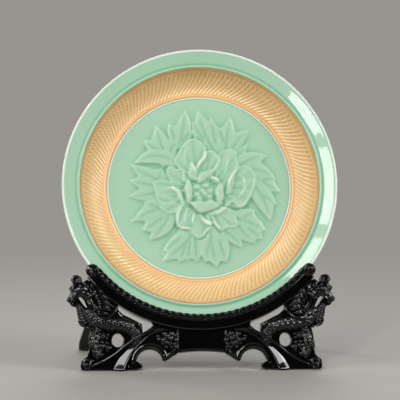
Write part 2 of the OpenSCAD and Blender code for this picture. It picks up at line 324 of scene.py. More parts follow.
class Finish:
    """A material under construction: short calls add nodes and join them to the Principled BSDF."""

    def __init__(self, name, **plain):
        self.material = bpy.data.materials.new(name)
        self.material.use_nodes = True
        self.tree = self.material.node_tree
        self.shader = self.tree.nodes["Principled BSDF"]
        for key, value in plain.items():
            self.shader.inputs[key.replace("_", " ")].default_value = value

    def node(self, kind, **settings):
        """A new shader node with some of its settings."""
        made = self.tree.nodes.new("ShaderNode" + kind)
        for key, value in settings.items():
            setattr(made, key, value)
        return made

    def link(self, source, sink):
        """Joins one node's output to another's input."""
        self.tree.links.new(source, sink)

    def smudge(self, scale, fine):
        """The shared smudge effect at this finish's own scales."""
        made = self.node("Group")
        made.node_tree = SMUDGE
        made.inputs["Scale"].default_value = scale
        made.inputs["Fine"].default_value = fine
        return made

    def painted(self, attribute):
        """A value painted on the mesh's points."""
        return self.node("Attribute", attribute_name=attribute).outputs["Fac"]

    def ramp(self, source, stops):
        """A colour or grey ramp: stops are (position, colour) pairs."""
        made = self.node("ValToRGB")
        elements = made.color_ramp.elements
        while len(elements) < len(stops):
            elements.new(0.5)
        for element, (position, colour) in zip(elements, stops):
            element.position = position
            element.color = (*colour, 1) if len(colour) == 3 else colour
        self.link(source, made.inputs["Fac"])
        return made.outputs["Color"]

    def mix(self, factor, first, second):
        """first where factor is 0 and second where it is 1; each is a socket or a plain colour."""
        made = self.node("Mix", data_type="RGBA")
        for value, key in ((factor, 0), (first, 6), (second, 7)):
            if isinstance(value, bpy.types.NodeSocket):
                self.link(value, made.inputs[key])
            elif key:
                made.inputs[key].default_value = (*value, 1)
            else:
                made.inputs[key].default_value = value
        return made.outputs[2]

    def spread(self, source, low, high):
        """A mask from 0 to 1 carried onto the range low to high."""
        made = self.node("MapRange")
        made.inputs["To Min"].default_value, made.inputs["To Max"].default_value = low, high
        self.link(source, made.inputs["Value"])
        return made.outputs["Result"]

    def colour(self, source):
        """The finish's own colour."""
        self.link(source, self.shader.inputs["Base Color"])

    def rough(self, source):
        """How rough the surface is, from 0 for a mirror to 1 for chalk."""
        self.link(source, self.shader.inputs["Roughness"])

    def bumps(self, source, depth, strength=1.0):
        """Puts a height, in units of depth metres, on the surface."""
        made = self.node("Bump")
        made.inputs["Distance"].default_value = depth
        made.inputs["Strength"].default_value = strength
        self.link(source, made.inputs["Height"])
        self.link(made.outputs["Normal"], self.shader.inputs["Normal"])


def linear(red, green, blue):
    """A screen colour, 0 to 255, as the linear light that shaders take."""
    return tuple(
        ((v / 255 + 0.055) / 1.055) ** 2.4 if v > 10 else v / 255 / 12.92
        for v in (red, green, blue)
    )


print("a middle grey in linear light:", np.round(linear(128, 128, 128), 3))

# %% [markdown]
# ## Celadon glaze
# Celadon is a clear glaze that is green only through its depth: it lies thin and pale on edges and ridges
# and pools darker in hollows. The pieces carry that depth as a painted value, worked out from their shape:
# 0 where the glaze is thinnest, 0.5 on an open face and 1 in the deepest hollow. On the carving the same
# value also holds painted shade round the leaves and in the midribs and folds, and a painted highlight on
# the curls. Bare clay shows only on the foot ring. The glaze lies a little more satin over the carving than
# on the plain body.

# %% Celadon finish


def celadon(name, shine, satin, foot_ring):
    """The glaze with a clear coat of a given weight over a ground of a given roughness.

    A piece with a foot ring carries a painted mask of bare clay, which is matt and has no coat.
    """
    f = Finish(name, Coat_Weight=shine, Roughness=satin, Coat_Roughness=0.03, IOR=1.5,
               Specular_IOR_Level=0.1)
    smudge = f.smudge(9.0, 260.0)
    # On the carving this ramp also paints light: the depth value there holds painted shade and painted
    # highlights.
    depth = f.ramp(f.painted("depth"), [
        (0.0, linear(240, 248, 236)),
        (0.26, linear(197, 222, 201)),
        (0.5, linear(172, 209, 182)),
        (0.75, linear(142, 192, 158)),
        (1.0, linear(104, 168, 128)),
    ])
    surface = f.mix(f.spread(smudge.outputs["Mask"], 0.0, 0.18), depth, linear(150, 204, 168))
    if foot_ring:
        bare = f.painted("bare")
        clay = f.ramp(smudge.outputs["Height"], [(0.3, linear(150, 104, 72)), (0.7, linear(188, 146, 110))])
        surface = f.mix(bare, surface, clay)
        f.rough(f.spread(bare, satin, 0.85))
        f.link(f.spread(bare, shine, 0.0), f.shader.inputs["Coat Weight"])
    f.colour(surface)
    f.bumps(smudge.outputs["Height"], 0.00008, 0.5)
    return f.material


GLAZE = celadon("celadon_glaze", 0.36, 0.24, foot_ring=True)
WELL_GLAZE = celadon("celadon_in_well", 0.3, 0.34, foot_ring=False)
print("glazes:", GLAZE.name, WELL_GLAZE.name)

# %% [markdown]
# ## The plate's body
# A plate is thrown or pressed against a turning profile, so one profile carried round the axis gives it
# whole: well, ridge, cavetto, ridge, flange, rolled lip, underside and foot ring. The corners are cut twice
# so that they take the light as a glazed edge does.

# %% Plate profile
WELL_R, FLANGE_R = 116.0, 154.0
WELL_N = -28.0
FLANGE_N = -5.0                    # where the cavetto meets the flange
UNDER_FLANGE_N = -8.0
FOOT_R, FOOT_N = 104.0, -42.0
BARE_N = -40.2                     # the foot ring is bare clay below this
BASE_N = -34.0
RIDGE = 2.5                        # what its edge ridges take off the cavetto at each side
CAVETTO_TURN = math.radians(62)
PLATE_COLUMNS = 384


def cavetto(s, lift=0.0):
    """The cavetto's arc from the well (s = 0) to the flange (s = 1), as radius and depth.

    The radius follows the sine of an angle that grows with s, and the depth one minus its cosine, so the
    wall starts flat and steepens outwards.
    """
    low, high = WELL_R + RIDGE, FLANGE_R - RIDGE
    a = np.asarray(s) * CAVETTO_TURN
    r = low + (high - low) * np.sin(a) / math.sin(CAVETTO_TURN)
    n = WELL_N + lift + (FLANGE_N - WELL_N) * (1 - np.cos(a)) / (1 - math.cos(CAVETTO_TURN))
    return r, n


def plate_profile():
    """The whole outline from the well's middle over the lip and back under the plate to the axis."""
    face = [
        (2, WELL_N - 0.6), (60, WELL_N - 0.6), (112, WELL_N - 0.6), (115.2, WELL_N - 0.5),
        (116.0, WELL_N + 0.6), (117.0, WELL_N + 1.2), (118.0, WELL_N + 0.7), (118.6, WELL_N - 0.3)
    ]
    wall = np.stack(cavetto(np.linspace(0.02, 0.98, 24), -0.3), 1)
    flange = [
        (151.8, -5.0), (152.3, -3.9), (153.2, -3.4), (154.2, -3.4), (155.0, -4.1), (156.4, -4.5), (158, -4.3),
        (162, -3.35), (166, -2.4), (170, -1.45), (171.6, -1.0), (172.4, -0.5), (173.3, -0.1), (174.3, -0.3),
        (PLATE_R, -1.6), (PLATE_R, -3.2), (174.2, -4.8), (172.6, -5.8)
    ]
    s = np.linspace(1, 0, 14)
    under = np.stack([FOOT_R + 3 + (PLATE_R - 12 - FOOT_R) * s,
                      BASE_N + (UNDER_FLANGE_N - BASE_N) * s ** 1.6], 1)
    foot = [
        (FOOT_R + 1, -35), (FOOT_R, -38), (FOOT_R - 0.6, FOOT_N + 0.8), (FOOT_R - 2.4, FOOT_N),
        (FOOT_R - 4, FOOT_N), (FOOT_R - 6.4, FOOT_N), (FOOT_R - 7.6, FOOT_N + 1.0), (FOOT_R - 8.4, -38),
        (FOOT_R - 9.4, BASE_N), (90, BASE_N), (60, BASE_N), (20, BASE_N), (2, BASE_N)
    ]
    return rounded(np.concatenate([face, wall, flange, under, foot]), 1)


def glaze_depth(r, face):
    """How deep the glaze lies: thin on the two ridges and the lip, pooled in the corners beside them."""
    thin = bump(r, 117.0, 1.2) + 0.2 * bump(r, 153.6, 1.0) + 0.98 * np.clip((r - 171.2) / 1.2, 0, 1)
    pooled = 0.5 * bump(r, 114.6, 0.9) + 0.35 * bump(r, 156.6, 1.6)
    under = 0.35 * bump(r, FOOT_R + 2.5, 3.0) + 0.2 * bump(r, 94.0, 2.0)
    thin = np.where(face, thin, 0.9 * bump(r, PLATE_R, 1.5))
    return np.clip(0.5 - 0.5 * thin + np.where(face, pooled, under), 0, 1)


profile = plate_profile()
reach, level = profile.T
on_face = np.arange(len(reach)) < np.argmax(reach)
foot_bare = np.clip((BARE_N - level) / 0.8, 0, 1)
plate_shell = turned(profile, PLATE_COLUMNS, depth=glaze_depth(reach, on_face), bare=foot_bare)
piece("plate_body_glazed", [plate_shell], GLAZE, "plate", "celadon_glaze", "plate_body")

# %% [markdown]
# ## The gilt band
# The cavetto is carved with fine spiral flutes and brushed with ochre gold. Its crests are painted pale,
# a painted highlight along every flute, and the gold is painted darker as it climbs, painted shade under the
# flange. The flutes leave the well at a strong slant and straighten as they climb.
# A fainter set crosses them. Real ridges catch the light along one side only, which a painted pattern
# could not do, so they are in the mesh.

# %% Gilt band shape
FLUTES = 156
CROSS_FLUTES = 208
COLUMNS_PER_FLUTE = 9
BAND_T = 0.8                       # the enamel's thickness


def twist(s, inner, outer):
    """How far round a flute has turned by s: the slope angle falls from inner to outer degrees.

    A line at angle a to the radius turns by tan(a) / radius for each millimetre outwards.
    """
    r = cavetto(s)[0]
    slope = np.tan(np.radians(inner + (outer - inner) * s))
    step = np.gradient(r) * slope / r
    return np.cumsum(step) - step[0]


def band_fade(s):
    """1 over the fluted part of the band and 0 on its plain edges."""
    return np.clip((s - 0.1) / 0.04, 0, 1) * np.clip((0.93 - s) / 0.06, 0, 1)


def gilt_band():
    """A closed ring: its top is the cavetto lifted by the enamel's thickness, with flutes and edge beads.

    A flute's height is (half plus half the cosine of its own angle) to the power 2.6, which makes its crest
    narrow and its valley wide. The cross weave is lower, and both fade out on the band's plain edges.
    """
    s = np.concatenate([np.linspace(0, 0.12, 14), np.linspace(0.14, 0.9, 34), np.linspace(0.915, 1, 7)])
    angle = np.linspace(0, 2 * math.pi, FLUTES * COLUMNS_PER_FLUTE, endpoint=False)
    fade = band_fade(s)[:, None]
    crest = (0.5 + 0.5 * np.cos(FLUTES * (angle + twist(s, 50, 14)[:, None]))) ** 2.6
    cross = (0.5 + 0.5 * np.cos(CROSS_FLUTES * (angle - twist(s, 30, 40)[:, None]))) ** 3
    beads = (bump(s, 0.052, 0.016) + bump(s, 0.945, 0.014))[:, None]
    height = fade * (0.75 * crest * (1 - 0.35 * s[:, None]) + 0.4 * s[:, None] * cross) + 0.45 * beads
    r, n = cavetto(s[:, None] + 0 * angle, BAND_T)
    n = n + 0.9 * height - 0.5 * fade
    under = np.linspace(1, 0, 5)
    r_low, n_low = cavetto(under[:, None] + 0 * angle, -0.15)
    points = np.concatenate([
        on_lean(r * np.cos(angle), r * np.sin(angle), n),
        on_lean(r_low * np.cos(angle), r_low * np.sin(angle), n_low),
    ])
    # The crests and cross weave are painted pale as a painted highlight; the edge beads' pale lines are the
    # band's own.
    pale = np.clip(fade * (crest * (0.95 - 0.65 * s[:, None]) + 0.6 * s[:, None] * cross) + 0.6 * beads, 0, 1)
    lines = bump(s, 0.018, 0.014) + 0.8 * bump(s, 0.086, 0.013) + 0.7 * bump(s, 0.985, 0.015)
    edge = lines[:, None] + 0 * angle
    pad = np.zeros((len(under), len(angle)))
    climb = np.concatenate([s[:, None] + 0 * angle, pad])
    return shell(points, wrap_rows=True, crest=np.concatenate([pale + 0 * angle, pad]),
                 edge=np.concatenate([edge, pad]), climb=climb)


print("gilt band:", FLUTES, "flutes with a weave of", CROSS_FLUTES, "across them")

# %% Gilt finish


def gilt():
    """Ochre gold, darkened by painted shade as it climbs, with painted highlights on its crests and drawn
    orange edge lines.
    """
    f = Finish("gilt_enamel", Coat_Weight=0.35, Coat_Roughness=0.12, Metallic=0.1, IOR=1.5)
    smudge = f.smudge(40.0, 900.0)
    # Painted shade: the gold darkens as it climbs, most at the outer edge, for the steep wall's shade under
    # the flange.
    ground = f.ramp(f.painted("climb"), [
        (0.0, linear(246, 194, 122)), (0.35, linear(234, 184, 96)), (0.75, linear(222, 168, 76)),
        (1.0, linear(196, 132, 58)),
    ])
    worn = f.mix(f.spread(smudge.outputs["Mask"], 0.0, 0.3), ground, linear(238, 200, 130))
    # Painted highlight: the crests and the cross weave turn pale.
    crest = f.mix(f.painted("crest"), worn, linear(250, 232, 206))
    f.colour(f.mix(f.painted("edge"), crest, linear(246, 168, 98)))
    f.rough(f.spread(smudge.outputs["Mask"], 0.34, 0.46))
    f.bumps(smudge.outputs["Height"], 0.00005, 0.4)
    return f.material


piece("gilt_band_fluted", [gilt_band()], gilt(), "plate", "gilt_enamel", "gilt_band")

# %% [markdown]
# ## The carved peony
# The potter carves the flower in a mould, so the relief is a height over the well and has no undercuts. It
# is drawn on a fine square sheet, layer over layer from the outermost leaf inwards: each leaf or petal
# covers what lies under it and starts from its own level, which leaves a crisp step along its edge. The
# sheet's height less its own blur then tells where glaze runs thin (crests) and where it gathers (corners).
# A wider blur also paints a broad dark halo of painted shade round each leaf, in place of its soft shadow,
# and the midribs and folds get painted shade and the curls a painted highlight.

# %% The drawing sheet
SHEET_PITCH = 0.4
SHEET_REACH = 118.0
sheet_line = np.arange(-SHEET_REACH, SHEET_REACH + SHEET_PITCH / 2, SHEET_PITCH)
SHEET_X, SHEET_W = np.meshgrid(sheet_line, sheet_line)
print("sheet:", SHEET_X.shape, "points,", SHEET_PITCH, "mm apart")


def smooth_line(points, closed=False, steps=7):
    """A Catmull-Rom curve: between two points it blends them and their neighbours with cubic weights."""
    p = np.asarray(points, float)
    ring = np.concatenate([p[-1:], p, p[:2]]) if closed else np.concatenate([p[:1], p, p[-1:]])
    a, b, c, d = (ring[i:len(ring) - 3 + i][:, None] for i in range(4))
    t = (np.arange(steps) / steps)[None, :, None]
    square = 2 * a - 5 * b + 4 * c - d
    cube = 3 * b - a - 3 * c + d
    curve = 0.5 * (2 * b + (c - a) * t + square * t ** 2 + cube * t ** 3)
    return np.concatenate([curve.reshape(-1, p.shape[1]), p[:1] if closed else p[-1:]])


def window(points, margin):
    """The part of the sheet round some points, as a pair of slices."""
    low = np.min(points, axis=0) - margin + SHEET_REACH
    high = np.max(points, axis=0) + margin + SHEET_REACH
    (x0, w0), (x1, w1) = np.clip(np.stack([low, high]) / SHEET_PITCH, 0, len(sheet_line)).astype(int)
    return slice(w0, w1 + 1), slice(x0, x1 + 1)


def measure(curve, x, w):
    """Distance to a polyline, how far along it the nearest point lies (0 to 1), and whether it encloses.

    A place is enclosed if a line from it to the right crosses the polyline an odd number of times.
    """
    a, step = curve[:-1], np.diff(curve, axis=0)
    dx, dw = x[..., None] - a[:, 0], w[..., None] - a[:, 1]
    t = np.clip((dx * step[:, 0] + dw * step[:, 1]) / np.maximum((step ** 2).sum(1), 1e-9), 0, 1)
    gap = np.hypot(dx - t * step[:, 0], dw - t * step[:, 1])
    nearest = gap.argmin(-1)[..., None]
    along = (nearest[..., 0] + np.take_along_axis(t, nearest, -1)[..., 0]) / len(step)
    spans = (dw < 0) != (dw < step[:, 1])
    crosses = spans & ((dx * step[:, 1] < dw * step[:, 0]) == (step[:, 1] > 0))
    return np.take_along_axis(gap, nearest, -1)[..., 0], along, crosses.sum(-1) % 2 == 1


def ease(x):
    """Runs smoothly from 0 at x = 0 to 1 at x = 1."""
    x = np.clip(x, 0, 1)
    return x * x * (3 - 2 * x)


def blurred(sheet, width):
    """A Gaussian blur, made by damping the sheet's fine waves: exp(-2 (pi width f)^2) at frequency f."""
    f = np.fft.fftfreq(sheet.shape[0], SHEET_PITCH)
    damp = np.exp(-2 * (math.pi * width) ** 2 * (f[:, None] ** 2 + f[None, : sheet.shape[1] // 2 + 1] ** 2))
    return np.fft.irfft2(np.fft.rfft2(sheet) * damp, s=sheet.shape)


# %% The leaves' outlines
# Each leaf is its level and its blades: root x and w, tip x and w, half width, and the bend of its midrib.
LEAVES = [
    (1.7, [(-27, 52, -17.5, 101, 10.5, -2), (-30, 60, -37.5, 84, 6.5, 0), (-22, 58, -8.6, 73, 6.5, 2)]),
    (1.8, [(22, 46, 0, 101, 12, 4), (22, 54, 16, 90, 8, 0), (8, 60, -9, 86, 6, 0), (6, 58, -4.5, 66, 5, 0)]),
    (1.9, [(34, 44, 41, 92, 10.5, 1), (42, 50, 65, 75, 8.5, 2), (34, 56, 25, 79, 6, 0)]),
    (1.9, [(-38, 32, -54.7, 82, 12, 2), (-46, 44, -72, 62, 8.5, 0), (-40, 42, -30, 61, 7, 0)]),
    (2.3, [(-32, 36, -84, 32, 10.5, -8)]),
    (1.7, [(-44, 8, -89, 31, 9.5, 1), (-48, 3, -91, 11, 8, 0), (-50, -2, -91, -8, 8, 2),
           (-54, 8, -48, 26, 8, 0)]),
    (2.1, [(-28, -22, -87, -41, 12, -5), (-46, -26, -70, -16, 8.5, 0), (-38, -30, -63.5, -65, 11, 3),
           (-44, -34, -73, -53, 10, 0)]),
    (1.8, [(-4, -50, -47, -93, 12.5, 3), (-14, -60, -26, -95, 11, 0), (-6, -58, -3.7, -96, 10, 0),
           (-22, -60, -46, -80, 7, 0), (-12, -60, -15, -92, 8, 0)]),
    (2.2, [(14, -46, 22, -102, 15, -2), (14, -60, 6.8, -95, 10, 0), (24, -62, 33.5, -96, 10, 0)]),
    (2.0, [(24, -48, 54.5, -76, 9.5, 3), (30, -50, 37, -60, 7, 0)]),
    (1.9, [(44, -36, 84.4, -52.5, 11.5, 2), (46, -40, 71, -70, 10, -2), (54, -38, 70, -27, 8, 0),
           (60, -48, 80, -64, 8, 0)]),
    (1.8, [(62, 12, 104, -4, 9.5, 3), (74, 8, 98, 14, 7, 0)]),
    (2.2, [(68, 8, 91, -42, 11.5, 4), (78, -6, 97, -18, 7, 0)]),
    (1.8, [(44, 22, 62, 57, 8, 2)]),
    (2.2, [(42, 20, 88, 42, 11.5, 5), (60, 24, 97, 14, 9, 4)]),
]
print("leaves:", len(LEAVES), "with", sum(len(blades) for _, blades in LEAVES), "blades")

# %% Drawing the leaves
LOBE_BLEND = 2.6
MOUND_X, MOUND_W = 2.0, 4.0        # a low mound joins the roots of the leaves
MOUND_R, MOUND_H = 50.0, 1.3
EDGE_WIDTH = 1.7


def over(inside):
    """How fully a layer covers what is under it, from 0 to 1 across its edge."""
    return ease(inside / EDGE_WIDTH + 0.3)


def blade(x, w, root_x, root_w, tip_x, tip_w, half, bend):
    """How far inside a blade a point lies, in millimetres, and the depth of its midrib there.

    The blade's half width at s of the way from root to tip is proportional to (s + 0.2)^0.3 (1 - s^2.2),
    and its midrib is a parabola that bends aside by bend at the middle.
    """
    along = np.array([tip_x - root_x, tip_w - root_w], float)
    length = np.hypot(*along)
    ux, uw = along / length
    s = ((x - root_x) * ux + (w - root_w) * uw) / length
    aside = (w - root_w) * ux - (x - root_x) * uw - bend * 4 * s * (1 - s)
    q = np.clip(s, 0, 1)
    width = half * 1.36 * (q + 0.2) ** 0.3 * (1 - q ** 2.2)
    inside = np.minimum(0.9 * (width - abs(aside)), np.minimum(s, 1 - s) * length + 1.5)
    rib = np.exp(-(aside / 2.2) ** 2) * ease(s * 6) * ease((1 - s) * 3)
    veins = (0.5 + 0.5 * np.cos(2 * math.pi * (s * length - 0.8 * abs(aside)) / 7.5)) ** 6
    return inside, rib + 0.16 * veins * ease(inside / 3)


def draw_leaves(sheet, rib_pool_and_shade):
    """Lays every leaf over the sheet: a crisp edge, a crowned face and grooves along the midribs.

    A leaf joins its blades' depths d as b log(sum of exp(d / b)), which webs the lobes together. Along
    the midribs it paints deeper glaze, partly glaze gathered in the groove and partly painted shade there.
    """
    sheet += MOUND_H * ease((MOUND_R - np.hypot(SHEET_X - MOUND_X, SHEET_W - MOUND_W)) / 5)
    for level, blades in LEAVES:
        points = np.array(blades)[:, :4].reshape(-1, 2)
        part = window(points, 14)
        x, w = SHEET_X[part], SHEET_W[part]
        each = [blade(x, w, *numbers) for numbers in blades]
        inside = LOBE_BLEND * np.log(sum(np.exp(depth / LOBE_BLEND) for depth, _ in each))
        rib = np.max([rib for _, rib in each], 0)
        face = level - 0.5 + 0.7 * (1 - np.exp(-np.maximum(inside, 0) / 4)) + 0.12 * bump(inside, 1.4, 1.0)
        cover = over(inside)
        sheet[part] += cover * (face - 0.4 * rib - sheet[part])
        # Painted shade along the midrib, which also stands for the glaze gathered in its groove.
        rib_pool_and_shade[part] += cover * (0.15 * rib - rib_pool_and_shade[part])


# %% The petals' outlines
# Each petal is its rim's level, how far it falls to its root, its number of folds, its root, and its outline.
PETALS = [
    (3.0, 1.3, 4, (4, -12), [(-30, -20), (-31, -38), (-29, -47), (-22, -51), (-13, -52), (-9, -58), (-3, -64),
                             (4, -61), (10, -55), (16, -48), (12, -30), (-4, -16)]),
    (3.2, 1.2, 5, (14, -16), [(10, -26), (16, -40), (26, -54), (36, -50), (46, -50), (51, -44), (48, -38),
                              (50, -31), (43, -26), (32, -22), (18, -16)]),
    (3.1, 1.2, 6, (20, 2), [(26, 14), (36, 14), (44, 24), (56, 30), (68, 26), (75, 14), (73, 4), (69, -5),
                            (64, -15), (58, -22), (50, -23), (42, -18), (34, -22), (22, -14)]),
    (3.0, 1.2, 5, (-14, -4), [(-20, 6), (-32, 8), (-44, 12), (-56, 11), (-60, 6), (-58, -4), (-55, -12),
                              (-53, -21), (-47, -29), (-38, -32), (-29, -28), (-20, -19), (-12, -10)]),
    (3.4, 1.3, 4, (-12, 2), [(-20, 26), (-29, 26), (-35, 29.5), (-40, 28), (-42, 21), (-40, 12), (-34, 2),
                             (-24, -4), (-14, 0)]),
    (3.3, 1.3, 5, (14, 4), [(22, 30), (25, 44), (32, 49), (41, 51), (48, 47), (49, 38), (52, 30), (46, 22),
                            (37, 14), (31, 0), (20, 2)]),
    (3.6, 1.5, 6, (-2, 10), [(-18, 20), (-27, 26), (-32, 33), (-30, 41), (-26, 49), (-20, 58), (-10, 64),
                             (-1, 63), (7, 57), (10, 50), (4, 34), (0, 18)]),
    (3.9, 1.5, 6, (6, 8), [(-4, 24), (2, 34), (6, 44), (12, 49), (20, 48), (26, 42), (28, 35), (25, 28),
                           (19, 20), (16, 12), (4, 8)]),
    (4.6, 1.6, 0, (20, 0), [(36, 2), (38, 14), (44, 24), (50, 26), (46, 14), (44, 2), (40, -6), (34, -6)]),
    (4.8, 1.6, 0, (2, 4), [(-13, 34), (-11, 33), (-5, 26), (-3, 18), (2, 12), (-6, 10), (-14, 14),
                           (-14, 24)]),
    (5.5, 1.8, 0, (10, 2), [(-3, 9), (-1, 17), (4, 22), (11, 24), (21, 25), (18, 18), (11, 12), (3, 7)]),
    (5.2, 1.4, 0, (14, 4), [(14, 12), (19, 16), (25, 12), (27, 8), (22, 6)]),
    (6.0, 2.2, 0, (4, 0), [(-16, 13), (-19.5, 1), (-18, -10), (-14, -19), (-10, -14), (-8, -4), (-10, 8)]),
    (5.9, 2.2, 0, (14, -4), [(28, 9), (32, -2), (31, -14), (27, -21), (22, -16), (19, -4), (22, 4)]),
    (6.0, 2.0, 0, (6, 2), [(-13, -17), (-6, -26), (3, -31), (16, -28), (26, -22), (22, -16), (13, -13),
                           (6, -15), (-2, -14), (-8, -15)]),
]
# Each curl is a rolled rim or a crease's soft ridge: its height, its half width, and its line.
CURLS = [
    (1.6, 2.7, [(-43, 2), (-34, 1), (-27, -4), (-23.5, -12), (-20, -20)]),
    (1.5, 2.5, [(-20, -18), (-25, -25), (-28, -33), (-29, -46)]),
    (1.5, 2.2, [(-28, -54), (-22, -50), (-15, -51), (-9, -58), (-4, -64)]),
    (0.9, 1.6, [(-4, -64), (4, -62), (11, -55)]),
    (1.9, 3.4, [(1, -32), (5, -39), (12, -43), (19, -44), (27, -56)]),
    (1.5, 3.6, [(12, -31), (21, -29.5), (29, -26), (38, -19)]),
    (1.3, 1.8, [(34, -22), (40, -20), (46, -21.5), (54, -23), (60, -18)]),
    (1.6, 2.4, [(36, -2), (38, 9), (43, 18), (52, 28)]),
    (2.2, 2.5, [(8.4, 50), (7, 40), (1, 33), (-4, 25)]),
    (1.6, 2.0, [(-11, 34), (-6.5, 27), (-3.6, 18)]),
    (1.4, 2.0, [(14, 14), (20, 14), (26, 9)]),
    (0.5, 2.0, [(50, 17), (57, 14), (60, 6), (57, -4), (49, -10)]),
    (0.5, 2.0, [(-55, -3), (-49, -9), (-40, -11), (-31, -14)]),
    (0.5, 2.0, [(-52, -14), (-44, -18), (-35, -18), (-27, -20)]),
    (0.5, 1.8, [(-13, -22), (-17, -32), (-17, -43)]),
    (0.5, 1.8, [(-6, -27), (-7, -36), (-9, -44)]),
    (0.5, 2.0, [(-16, 30), (-18, 42), (-15, 55)]),
    (0.5, 1.8, [(33, 18), (36, 30), (40, 42)]),
    (0.5, 1.8, [(28, -33), (36, -36), (44, -43)]),
]
# The heart is a low round step under the inner petals, and the stamens are small domes on it.
HEART_X, HEART_W, HEART_R, HEART_H = 4.0, -2.0, 33.0, 2.4
STAMENS = [(-3, -7), (3, -2), (8, 4), (7, -6), (14, -3), (13, -10), (0, -12), (-3, 2)]
STAMEN_R, STAMEN_FOOT, STAMEN_RISE = 3.2, 3.2, 2.0
print("petals:", len(PETALS), "curls:", len(CURLS), "stamens:", len(STAMENS))

# %% Drawing the petals


def draw_petals(sheet, cover_sheet, fold_pool_and_shade_sheet, highlight_and_thin_glaze_sheet):
    """Lays the petals over the sheet from the outermost inwards.

    From the rim, a distance d inside it, a petal first shows its rolled lip, then a shallow hollow. It falls
    towards its root as 1 - q/(q + d), where q is the distance from the root, and its folds fan from there.
    A petal with no folds is a plain dome. Each petal also paints shade into the valleys of its folds and
    towards its root, and each curl a painted highlight along its crest.
    """
    heart = HEART_R - np.hypot(SHEET_X - HEART_X, SHEET_W - HEART_W)
    sheet += ease(heart / 2) * HEART_H
    cover_sheet[:] = np.maximum(cover_sheet, heart)
    for level, fall, folds, (root_x, root_w), outline in PETALS:
        part = window(outline, 4)
        x, w = SHEET_X[part], SHEET_W[part]
        gap, _, within = measure(smooth_line(outline, closed=True), x, w)
        fan = np.arctan2(w - root_w, x - root_x)
        inside = np.where(within, gap, -gap) + 0.45 * np.sin(9 * fan + 5 * level) - 0.2
        q = np.hypot(x - root_x, w - root_w)
        out = q / (q + np.maximum(inside, 0) + 1e-6)
        wave = np.cos(fan * folds * 3.1) + 0.35 * np.cos(fan * folds * 7.3 + 1)
        face = level - fall * (1 - out) ** 0.7 - 0.1 * wave * ease(out * 1.3) * ease(inside / 4)
        if folds == 0:
            face = level - fall + fall * np.sqrt(1 - (1 - np.clip(inside / 5, 0, 1)) ** 2)
        lip = 0 if folds == 0 else 0.06 + 0.16 * (0.5 + 0.5 * np.cos(3 * fan + 2 * level))
        face += lip * bump(inside, 1.6, 1.3) - (0.35 if folds else 0) * bump(inside, 5, 2.8)
        cover = over(inside)
        sheet[part] += cover * (face - sheet[part])
        # Painted shade: darker in the valleys of the folds and towards the root, with some glaze gathered
        # there too.
        fold_shade = 0.06 * wave * min(folds, 1) + 0.14 * (1 - out)
        fold_pool_and_shade_sheet[part] += cover * (fold_shade * ease(inside / 3) - fold_pool_and_shade_sheet[part])
        cover_sheet[part] = np.maximum(cover_sheet[part], inside)
    for height, half, line in CURLS:
        part = window(line, 5)
        gap, along, _ = measure(smooth_line(line), SHEET_X[part], SHEET_W[part])
        roll = half * np.sin(math.pi * np.clip(along, 0.02, 0.98)) ** 0.5 + 0.2
        rolled = np.sqrt(np.clip(1 - (gap / roll) ** 2, 0, 1)) * np.minimum(roll / half, 1)
        sheet[part] += height * rolled
        # Painted highlight along each curl's crest, on top of the thin glaze there.
        highlight_and_thin_glaze_sheet[part] = np.maximum(highlight_and_thin_glaze_sheet[part], 0.2 * (height - 0.4) * rolled ** 2)
        cover_sheet[part] = np.maximum(cover_sheet[part], roll - gap)
    for x, w in STAMENS:
        part = window([(x, w)], 5)
        gap = np.hypot(SHEET_X[part] - x, SHEET_W[part] - w)
        dome = np.sqrt(np.clip(1 - (gap / STAMEN_R) ** 2, 0, 1))
        sheet[part] = np.maximum(sheet[part], STAMEN_FOOT + STAMEN_RISE * dome)


# %% The finished drawing
# The glaze is deeper where the sheet lies below its own blur, in midribs and in folds, and thin on curls.
# That depth also holds painted light: a broad dark halo of painted shade round every leaf, painted shade in
# midribs and folds, and a painted highlight on the curls.
leaf_sheet, flower_sheet, curl_highlight_and_thin_glaze, leaf_rib_pool_and_shade, petal_fold_pool_and_shade = (np.zeros_like(SHEET_X) for _ in range(5))
inside_flower = np.full_like(SHEET_X, -9.0)
draw_leaves(leaf_sheet, leaf_rib_pool_and_shade)
draw_petals(flower_sheet, inside_flower, petal_fold_pool_and_shade, curl_highlight_and_thin_glaze)
whole = blurred(np.where(inside_flower > 0, np.maximum(flower_sheet, 0), leaf_sheet), 0.8)
# Glaze gathered in midribs and folds together with painted shade there, left out under the painted curl
# highlights.
pooled = np.where(inside_flower > 0, petal_fold_pool_and_shade * (curl_highlight_and_thin_glaze == 0), leaf_rib_pool_and_shade)
# The wider blur paints a broad dark halo round each leaf: painted shade in place of its soft shadow.
hollow = 0.12 * (blurred(whole, 1.6) - whole) + 0.24 * (blurred(whole, 4.5) - whole)
glaze = np.clip(0.5 + np.where(hollow > 0, 1.2, 0.5) * hollow + pooled - curl_highlight_and_thin_glaze, 0.08, 1)
print("relief:", round(whole.max(), 2), "mm high")
print("glaze depth:", glaze.min().round(2), "to", glaze.max().round(2))


# %% Relief on the plate
SAG = 3.6                          # the carving sits this much lower on the plate than it is drawn


def sample(sheet, x, w):
    """The sheet's value at any place, from its four neighbours (bilinear)."""
    u, v = (x + SHEET_REACH) / SHEET_PITCH, (w + SHEET_REACH) / SHEET_PITCH
    i, j = np.clip(u.astype(int), 0, len(sheet_line) - 2), np.clip(v.astype(int), 0, len(sheet_line) - 2)
    a, b = u - i, v - j
    lower = (1 - a) * sheet[j, i] + a * sheet[j, i + 1]
    upper = (1 - a) * sheet[j + 1, i] + a * sheet[j + 1, i + 1]
    return (1 - b) * lower + b * upper


